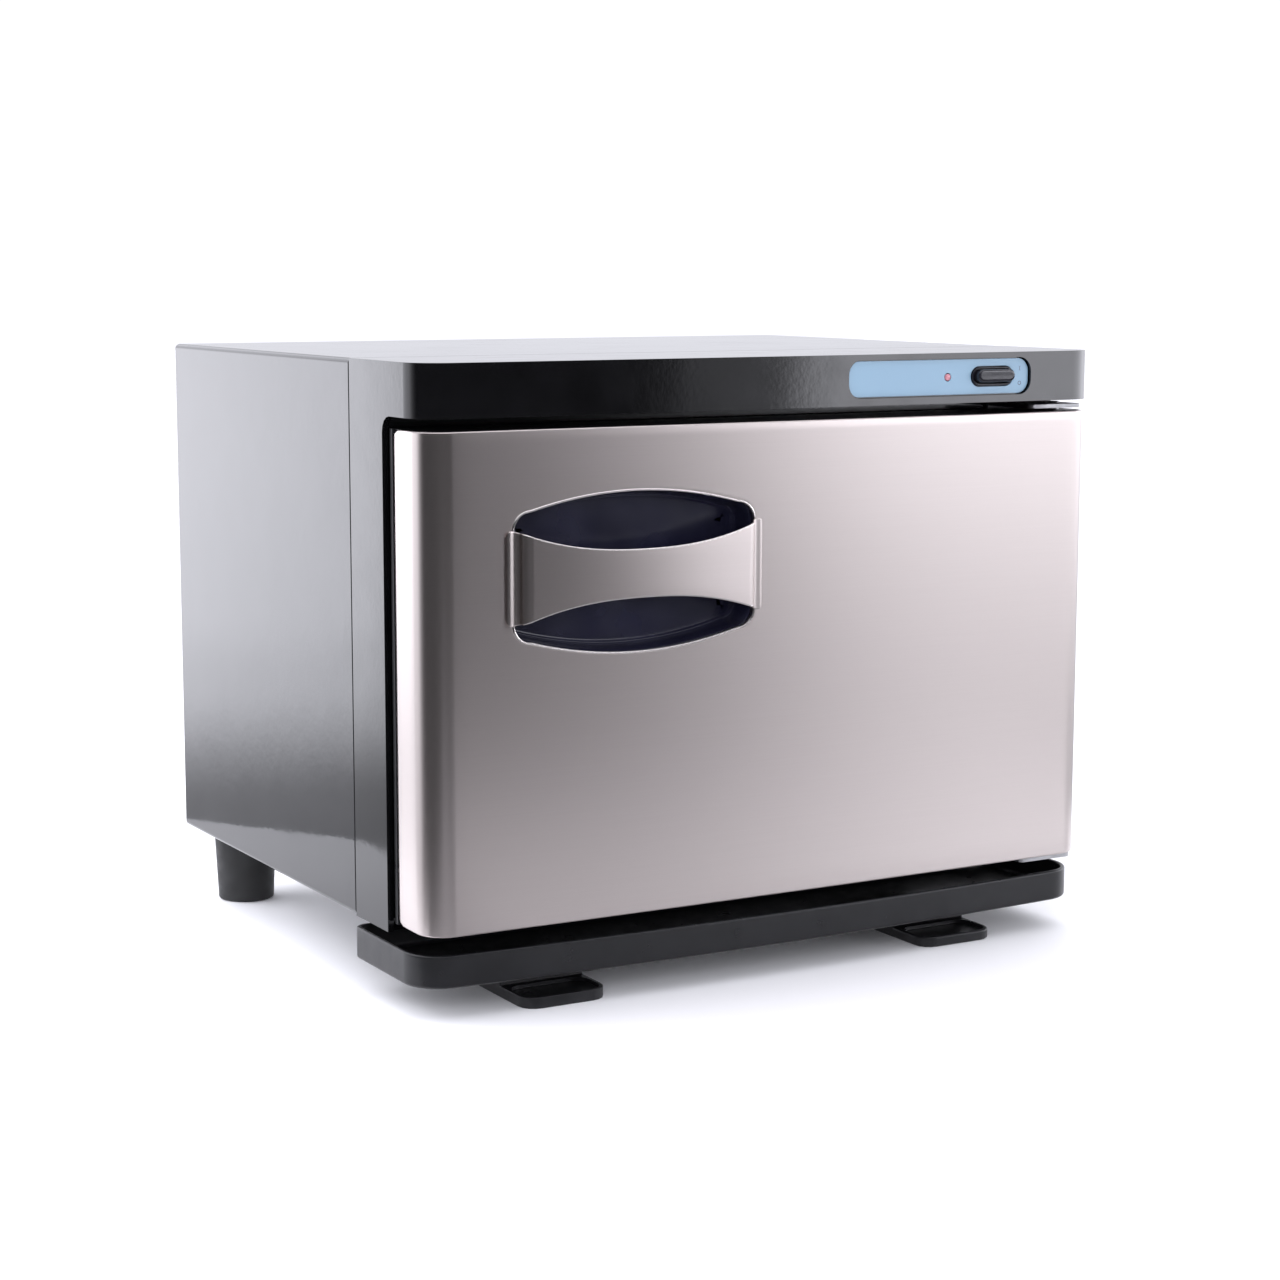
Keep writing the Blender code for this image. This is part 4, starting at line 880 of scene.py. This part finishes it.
def strap_foot(side):
    """Outer face of one foot, from its end to its wall: a rolled edge and a slightly hollow top."""
    skin = face_depth(PULL.x + side * STRAP_WALL)
    edge, top = 0.0011, 0.0016
    profile = [(0.0, 0.0002)]
    profile += [(edge * (1 - cosine), -0.0005 - edge * sine) for sine, cosine in quarter(6)]
    hollow = 1.0 if side < 0 else 0.2
    dips = ((edge + 0.0005, 0.0), (0.0022, 0.00005), (0.0028, 0.00010), (0.0034, 0.00012), (0.0040, 0.00004))
    profile += [(along, dip * hollow - top) for along, dip in dips]
    profile += [(0.0045, -0.0018), (0.0050, -0.0024)]
    return [(side * (STRAP_REACH - along), skin + depth) for along, depth in profile]


def strap_line():
    """Plan stations of the strap's outer face: feet on the skin, end walls and a bowed bridge."""

    def bridge(x):
        return STRAP_FACE + STRAP_BOW * (x / PULL_HALF) ** 2

    edge = STRAP_WALL - STRAP_TURN
    crown = bridge(edge)
    corner = [(-edge - STRAP_TURN * cosine, crown + STRAP_TURN - STRAP_TURN * sine)
              for sine, cosine in quarter(12)]
    stations = strap_foot(-1) + corner
    stations += [(x, bridge(x)) for x in spaced(-edge, edge, 0.0045)[1:-1]]
    stations += [(-x, depth) for x, depth in reversed(corner)]
    return stations + list(reversed(strap_foot(1)))


def strap_stations():
    """Each station with the direction into the sheet and the half height there."""
    line = [Vector(point) for point in strap_line()]
    last = len(line) - 1
    stations = []
    for index, here in enumerate(line):
        along = (line[min(index + 1, last)] - line[max(index - 1, 0)]).normalized()
        stations.append((here, Vector((-along.y, along.x)), strap_half_height(here.x)))
    return stations


def on_strap(here, inward, depth, rise):
    """A point at a depth in the strap's sheet and a height above its middle."""
    spot = here + inward * depth
    return at(PULL.x + spot.x, spot.y, PULL.y + rise)


def door_strap():
    """Waisted strap across the recess, with rounded edges."""
    rings = []
    round_off = STRAP_THICK / 2
    for here, inward, half in strap_stations():
        thick = STRAP_THICK if abs(here.x) < STRAP_WALL - 0.0003 else 0.0006
        section = []
        for side in (1, -1):
            for step in range(7):
                angle = math.radians(180 * step / 6)
                rise = side * (half - round_off + round_off * math.sin(angle))
                section.append((thick / 2 * (1 - side * math.cos(angle)), rise))
            section += [(thick if side > 0 else 0.0, side * (half - round_off) * share)
                        for share in (0.6, 0.2, -0.2, -0.6)]
        rings.append([on_strap(here, inward, depth, rise) for depth, rise in section])
    return loft("door_strap", rings)


def polished_highlight_edges():
    """Rolled edges: both long edges of the strap, and the rim of the recess, in a stainless lighter than the
    brushed skin; the lighter colour is painted highlight, the lower roughness the polish.
    """
    tubes = []
    radius = STRAP_THICK / 2
    for side in (1, -1):
        points = [on_strap(here, inward, radius, side * (half - radius))
                  for here, inward, half in strap_stations() if abs(here.x) < STRAP_WALL - 0.0003]
        tubes.append(wire("strap_edge", points, radius * 1.03))
    rim = [at(x, face_depth(x) + 0.0001, z) for x, z in mouth(0.0003)]
    tubes.append(wire("mouth_rim", rim, 0.0006, True))
    return merged("pull_edges", tubes)


def finger_cup():
    """Black moulded recess with drafted walls and a round floor edge."""
    floor_depth = behind(CUP_HIGH.y) - 0.0015
    fillet, deepest = 0.0025, 0.006

    def ring(inset, depth):
        outline = mouth(-inset) if inset < deepest else offset(mouth(-deepest), inset - deepest)
        return [front_view(u, v, depth) for u, v in outline]

    front = [(-0.0034, 0.0016), (-0.0030, 0.0012), (-0.0008, 0.0012), (-0.0002, 0.0014), (0.0002, 0.0019),
             (0.0006, 0.0030), (0.0011, 0.0060)]
    front += [(0.0016 + fillet * (1 - cosine), floor_depth - fillet + fillet * sine)
              for sine, cosine in quarter(7)]
    front.append((0.010, floor_depth))
    back = [(0.0078, floor_depth + 0.0012), (0.0030, floor_depth + 0.0006), (0.0012, floor_depth - 0.0030),
            (-0.0004, 0.0030), (-0.0034, 0.0024)]
    cup = cup_shell("finger_cup", [ring(*level) for level in front], [ring(*level) for level in back])
    dress(cup, RECESS, "door", ["pull_cup"], 60)


def cup_shell(name, front, back):
    """Front rings down to a flat floor, then back rings round behind to the first ring."""
    points = [point for ring in front + back for point in ring]
    count = len(front[0])
    split = len(front) * count
    faces = join_rings(front) + join_rings(back, split)
    capped(points, faces, split - count, count)
    capped(points, faces, split, count)
    last = len(points) - count
    faces += [(k, (k + 1) % count, last + (k + 1) % count, last + k) for k in range(count)]
    return new_object(name, points, faces)


def seal():
    """Bulb seal round the mouth: a flat base and a crowned face."""
    low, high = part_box("door_gasket")
    width, base, corner = 0.0095, 0.0012, 0.0125
    near, far = depths(low, high)
    sections = [(0.0, near), (0.0, near + 0.0010)]
    for step in range(1, 12):
        angle = math.radians(180 * step / 12)
        sections.append((width / 2 - (width / 2 - 0.0006) * math.cos(angle),
                         near + base + (far - near - base) * math.sin(angle)))
    sections += [(width, near + 0.0010), (width, near)]
    rings = []
    for inset, depth in sections:
        outline = rounded((low.x + inset, low.z + inset), (high.x - inset, high.z - inset),
                          max(corner - inset, 0.003), 8)
        rings.append([front_view(u, v, depth) for u, v in outline])
    dress(ring_loft("bulb_seal", rings), SILICONE, "door", ["door_gasket"], 50)


# ---------------- tray and feet
TRAY_RADIUS, TRAY_BOW, TRAY_WALL = 0.017, 0.0068, 0.002


def tray_outline(inset):
    """Bowed front, round front corners and small rear ones, anticlockwise, in x and depth."""
    half = TRAY_HIGH.x - inset
    front, rear = behind(TRAY_LOW.y) + inset, behind(TRAY_HIGH.y) - inset
    radius, corner = TRAY_RADIUS - inset, 0.005 - inset / 2
    inner = half - radius

    def front_depth(x):
        return front + TRAY_BOW * (x / half) ** 2

    edge = front_depth(inner)
    side = arc((inner, edge + radius), radius, -90, 0, 12)[1:]
    side += [(half, depth) for depth in spaced(edge + radius, rear - corner, 0.012)[1:-1]]
    side += arc((half - corner, rear - corner), corner, 0, 90, 6)
    points = [(x, front_depth(x)) for x in spaced(-inner, inner, 0.012)] + side
    points += [(x, rear) for x in spaced(-half + corner, half - corner, 0.02)[-2:0:-1]]
    return points + [(-x, depth) for x, depth in reversed(side)]


def drip_pan():
    """Moulded trough with a full-round rim and rounded inner and outer floor edges."""
    low, high = TRAY_LOW.z, TRAY_HIGH.z
    outer, inner = 0.0016, 0.0022
    levels = [(outer * (1 - sine), low + outer * (1 - cosine)) for sine, cosine in quarter(4)]
    for step in range(9):
        angle = math.radians(180 * step / 8)
        levels.append((TRAY_WALL / 2 * (1 - math.cos(angle)), high - TRAY_WALL / 2 * (1 - math.sin(angle))))
    levels += [(TRAY_WALL + inner * (1 - cosine), low + TRAY_WALL + inner * (1 - sine))
               for sine, cosine in quarter(5)]
    rings = [[plan_view(u, v, w) for u, v in tray_outline(inset)] for inset, w in levels]
    dress(loft("drip_pan", rings), SATIN, "tray", ["drip_tray"], 60)


def front_foot(word):
    """Shoe-shaped foot with a shallow pocket in the top of its toe."""
    node = "front_foot_" + word
    low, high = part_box(node)
    toe, rim, front = 0.005, 0.0016, behind(low.y)
    shoe = eased("front_foot_moulding_" + word, node, 0.0010, 4)
    pocket = rounded((low.x + rim, front + rim), (high.x - rim, front + 0.022), 0.0064)
    cut_by(shoe, slab("toe_pocket", [pocket], toe - rim, toe + 0.002, plan_view))
    dress(shoe, SATIN, "cabinet", [node])


def rear_foot(word):
    """Tapered rubber foot with a rounded tread and a hollow for its screw."""
    low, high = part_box("rear_foot_" + word)
    centre = (low + high) / 2
    height = high.z - low.z
    base = Vector((centre.x, centre.y, high.z))
    outside = soften([(0.0150, 0.0), (0.0155, 0.0006), (0.0152, 0.004), (0.0137, height - 0.0004),
                      (0.0120, height), (0.0052, height)], 0.0012, 5)
    inside = [(0.0048, height - 0.0005), (0.0048, height - 0.016), (0.0012, height - 0.016)]
    foot = turned("rear_foot_moulding_" + word, outside + inside, base, (0, 0, -1), 56)
    dress(foot, RUBBER, "cabinet", ["rear_foot_" + word], 45)


# ---------------- basket
def basket():
    """Chromed wire basket: rim and floor loops, uprights, floor wires and runners."""
    low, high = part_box("basket_base")
    runner_radius, wire_radius, rim_radius, thin = 0.0013, 0.0015, 0.0018, 0.0012
    crossing, stand = 0.0011, 0.0030     # centre distances of crossing wires, and of uprights from the edge
    floor_z = low.z + runner_radius + crossing
    rim_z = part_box("basket_rim")[1].z - rim_radius
    half, front, rear = 0.130, behind(low.y) + wire_radius, behind(high.y) - wire_radius

    def loop(name, z, inset, radius):
        outline = rounded((-half + inset, front + inset), (half - inset, rear - inset), 0.010 - inset, 8)
        return wire(name, [at(x, depth, z) for x, depth in outline], radius, True)

    def upright(x, depth):
        return wire("upright", [at(x, depth, floor_z), at(x, depth, rim_z)], thin)

    wires = [loop("floor_loop", floor_z, 0.0, wire_radius),
             loop("rim_loop", rim_z, stand - crossing, rim_radius)]
    for index in range(9):
        x, z = -half + 0.026 * (index + 1), floor_z + crossing
        ends = [at(x, front - 0.0004, z), at(x, rear + 0.0004, z)]
        wires.append(wire("floor_wire_%d" % index, ends, thin))
        if index % 2 == 0:
            wires += [upright(x + 0.0027, depth) for depth in (front + stand, rear - stand)]
    for index in range(5):
        depth, z = front + 0.015 + (rear - front - 0.030) * index / 4, floor_z - crossing
        wires += [upright(side * (half - stand), depth + 0.0019) for side in (-1, 1)]
        if index % 2 == 0:
            ends = [at(-high.x, depth, z), at(high.x, depth, z)]
            wires.append(wire("runner_%d" % index, ends, runner_radius))
    dress(merged("wire_basket", wires), CHROME, "basket", ["basket_base", "basket_rim"], 60)


# ---------------- all pieces
MOUTHS = {grow: mouth(grow) for grow in (0.0, EDGE)}


def pieces():
    """Every visible piece, and materials for the CAD nodes that stay."""
    casing()
    rear_panel()
    for index in range(1, 5):
        pan_screw("rear_screw_head_%d" % index, "rear_screw_%d" % index, (0, 1, 0), 0.0033, 0.0020)
    cord_gland()
    rating_plate()
    mould("fascia_moulding", "front_fascia", 0.0008, GLOSS, "cabinet", 3)
    control_overlay()
    switch_housing()
    switch_cap()
    lamp_lens()
    dress(door_panel(), STEEL, "door", ["door_skin"], 50)
    dress(door_strap(), STEEL, "door", ["pull_strap"], 60)
    dress(polished_highlight_edges(), POLISHED_HIGHLIGHT, "door", [], 60)
    finger_cup()
    seal()
    mould("door_inner_moulding", "door_frame", 0.0005, SATIN, "door")
    mould("door_inner_sheet", "door_liner", 0.0003, ALUMINIUM, "door")
    mould("strike_sheet", "strike_plate", 0.0003, ZINC, "door")
    mould("magnet_block", "catch_magnet", 0.0003, FERRITE, "cabinet")
    mould("chamber_box", "chamber_liner", 0.0003, ALUMINIUM, "cabinet")
    mould("base_pan", "bottom_pan", 0.0003, ZINC, "cabinet")
    for word in ("left", "right"):
        mould("rail_angle_" + word, "rack_rail_" + word, 0.00025, ALUMINIUM, "cabinet")
        front_foot(word)
        rear_foot(word)
    for word in ("top", "bottom"):
        mould("hinge_plate_" + word, "hinge_bracket_" + word, 0.00025, DULL_SHADED_ZINC, "cabinet")
        mould("pivot_sleeve_" + word, "hinge_bush_" + word, 0.0002, NYLON, "door")
        for index in (1, 2):
            place = "%s_%d" % (word, index)
            pan_screw("leaf_screw_" + place, "hinge_screw_" + place, (0, -1, 0), 0.0022, 0.0010)
    for end in ("front", "rear"):
        for word in ("left", "right"):
            name = "%s_foot_%s_screw" % (end, word)
            pan_screw(name + "_head", name, (0, 0, -1), 0.0040, 0.0025)
    drip_pan()
    basket()
    inner_parts = {"heater_pad": FOIL, "insulation_jacket": WOOL, "thermostat": SWITCH,
                   "thermal_fuse": NYLON, "terminal_block": NYLON, "wire_heater": RED,
                   "wire_control": BROWN, "wire_sensor": GREY, "door_insulation": FOAM}
    for node, finish in inner_parts.items():
        paint(node, finish)


# ---------------- floor, light and camera
COOL_WHITE = (0.925, 0.93, 1.0)


def table_top(name, outlines, height, tone):
    """Flat sheet of the table in one tone of its own; the low tones given to the front sheets are painted
    shade for the pieces to mirror.
    """
    made = new_material(name + "_paint", Roughness=0.55, IOR=1.4)
    colour(made, noise(made, 4.0), (tone, tone, tone + 0.005), (tone + 0.02, tone + 0.02, tone + 0.025))
    relief(made, (noise(made, 600.0), 0.00002))
    loops = [[at(x, depth, height) for x, depth in outline] for outline in outlines]
    sheet = new_object(name, [point for loop in loops for point in loop],
                       [tuple(face) for face in tessellate_polygon(loops)])
    mesh = bmesh.new()
    mesh.from_mesh(sheet.data)
    for face in mesh.faces:
        if face.normal.z < 0:
            face.normal_flip()
    mesh.to_mesh(sheet.data)
    mesh.free()
    sheet.data.materials.append(made)
    return sheet


def floor():
    """Pale table: one sheet for the camera, and sheets just under it for mirrors and bounced light. The two
    front sheets are dark: painted shade that the door, the strap and the tray mirror in place of a dim room
    in front.
    """
    left, middle_x, right, front, rear = -0.300, -0.100, 0.400, -0.340, 0.460
    back = [(right, rear), (-0.230, rear), (left, 0.350)]     # the far side, with its left corner cut off
    wide = [(-8, -8), (8, -8), (8, 8), (-8, 8)]
    near = [(left, front), (right, front)] + back
    front_left = [(left, front), (middle_x, front), (middle_x, 0.0), (left, 0.0)]
    front_right = [(middle_x, front), (right, front), (right, 0.0), (middle_x, 0.0)]
    rest = [(left, 0.0), (right, 0.0)] + back
    seen = table_top("table_seen", [wide], 0.0, 0.88)
    seen.visible_glossy = seen.visible_diffuse = seen.visible_shadow = False
    seen.visible_transmission = False
    below = -0.0003
    # The front sheets' low tones (0.25 and 0.42) are painted shade, seen only in reflections and bounced
    # light.
    for name, outlines, tone, mirrored in (("table_far", [wide, near], 0.84, False),
                                           ("painted_shade_front_left", [front_left], 0.25, True),
                                           ("painted_shade_front", [front_right], 0.42, True),
                                           ("table_rest", [rest], 0.84, True)):
        sheet = table_top(name, outlines, below, tone)
        sheet.visible_camera = False
        sheet.visible_glossy = mirrored


class Sky:
    """Soft studio surroundings, built from patches of brightness by direction."""

    def __init__(self):
        world = bpy.data.worlds.new("soft_studio")
        bpy.context.scene.world = world
        world.use_nodes = True
        self.tree = world.node_tree
        place = shader_node(self.tree, "TexCoord").outputs["Generated"]
        way = shader_node(self.tree, "SeparateXYZ", Vector=place).outputs
        self.height = self.maths('ARCSINE', way["Z"])
        self.bearing = self.maths('ARCTAN2', way["X"], self.maths('MULTIPLY', way["Y"], -1.0))
        self.behind = self.maths('ARCTAN2', self.maths('MULTIPLY', way["X"], -1.0), way["Y"])

    def maths(self, operation, *values):
        item = self.tree.nodes.new("ShaderNodeMath")
        item.operation = operation
        for socket, value in zip(item.inputs, values):
            if isinstance(value, float):
                socket.default_value = value
            else:
                self.tree.links.new(value, socket)
        return item.outputs["Value"]

    def ramp(self, angle, stops):
        """Brightness that follows an angle in degrees through (degrees, brightness) stops."""
        total = None
        for (start, low), (end, high) in zip(stops, stops[1:]):
            step = shader_node(self.tree, "MapRange", Value=angle, From_Min=math.radians(start),
                        From_Max=math.radians(end), To_Min=0.0, To_Max=high - low)
            step.interpolation_type = 'SMOOTHSTEP'
            result = step.outputs["Result"]
            total = result if total is None else self.maths('ADD', total, result)
        return self.maths('ADD', total, stops[0][1])

    def patch(self, bearing_stops, height_stops, from_behind=False):
        angle = self.behind if from_behind else self.bearing
        return self.maths('MULTIPLY', self.ramp(angle, bearing_stops), self.ramp(self.height, height_stops))

    def finish(self, patches, seen):
        """Adds the patches up; the camera itself sees an even pale backdrop."""
        total = patches[0]
        for extra in patches[1:]:
            total = self.maths('ADD', total, extra)
        mix = self.tree.nodes.new("ShaderNodeMix")
        mix.data_type = 'FLOAT'
        camera_ray = shader_node(self.tree, "LightPath").outputs["Is Camera Ray"]
        fill(self.tree, mix, {"Factor": camera_ray, "A": total, "B": seen})
        fill(self.tree, self.tree.nodes["Background"],
             {"Color": (*COOL_WHITE, 1.0), "Strength": mix.outputs["Result"]})


def surroundings():
    """Bearings are degrees to the right of the front; those from behind are degrees to the left of the rear.

    Each patch is brightness by bearing times brightness by height in degrees.
    """
    sky = Sky()
    everywhere = [(-180, 1.0), (180, 1.0)]
    left_rear = sky.patch([(-18, 0.0), (12, 1.0), (23.6, 1.0), (25.6, 0.40), (55, 0.32), (75, 0.0)],
                          [(-13, 0.40), (-11.6, 0.50), (-9.0, 2.45), (-7.5, 2.85), (-3, 3.0), (3, 2.9),
                           (13, 0.0)], True)
    left_edge = sky.patch([(-18, 0.0), (0, 1.0), (19, 1.0), (24, 0.0)],
                          [(6, 0.0), (12, 1.4), (40, 1.2), (60, 0.0)], True)
    rear = sky.patch([(-110, 0.0), (-80, 1.0), (60, 1.0), (90, 0.0)],
                     [(-14, 0.2), (-4, 0.9), (40, 1.0)], True)
    right_end = [(75, 1.0), (120, 0.2), (130, 0.0)]
    right_low = sky.patch([(30, 0.0), (31, 0.16), (32.7, 0.16), (33.8, 1.0)] + right_end,
                          [(-4.2, 0.0), (-3.6, 4.6), (-1.6, 4.6), (0.5, 0.0)])
    right_high = sky.patch([(27.5, 0.0), (35, 1.0)] + right_end,
                           [(1.0, 0.0), (6, 6.0), (14, 6.0), (19, 0.0)])
    overhead = sky.patch(everywhere, [(28, 0.0), (52, 1.75)])
    ambient = sky.patch(everywhere, [(-90, 0.05), (90, 0.06)])
    sky.finish([left_rear, left_edge, rear, right_low, right_high, overhead, ambient], 1.15)


def soft_lamp(name, place, target, size, watts):
    """Wide soft light that isn't mirrored in anything."""
    data = bpy.data.lights.new(name, 'AREA')
    data.shape = 'RECTANGLE'
    data.size, data.size_y = size
    data.energy = watts
    data.color = COOL_WHITE
    lamp = placed(name, data)
    lamp.location = place
    lamp.rotation_euler = (Vector(target) - Vector(place)).to_track_quat('-Z', 'Y').to_euler()
    lamp.visible_camera = lamp.visible_glossy = False


def lamps():
    """Light for the table on both sides of the camera."""
    soft_lamp("left_rear_lamp", (-0.75, 0.35, 0.35), (-0.25, 0.0, 0.0), (0.9, 0.7), 6.5)
    soft_lamp("left_front_lamp", (-0.45, -1.05, 0.45), (0.0, -0.16, 0.0), (0.8, 0.5), 8.0)


def camera():
    """Camera at the left front, looking slightly down."""
    data = bpy.data.cameras.new("camera")
    data.sensor_width = 36.0
    data.lens = 74.14
    data.shift_x = 0.0013
    data.shift_y = -0.0017
    data.clip_start = 0.05
    obj = placed("camera", data)
    turn, tip, roll = (math.radians(a) for a in (-29.69, -8.155, 0.076))
    obj.location = at(-0.6264, -0.9711, 0.3189)
    obj.rotation_euler = (Matrix.Rotation(turn, 3, 'Z') @ Matrix.Rotation(math.pi / 2 + tip, 3, 'X')
                          @ Matrix.Rotation(roll, 3, 'Z')).to_euler()
    bpy.context.scene.camera = obj


pieces()
floor()
surroundings()
lamps()
camera()
bpy.context.scene.view_settings.view_transform = 'Standard'
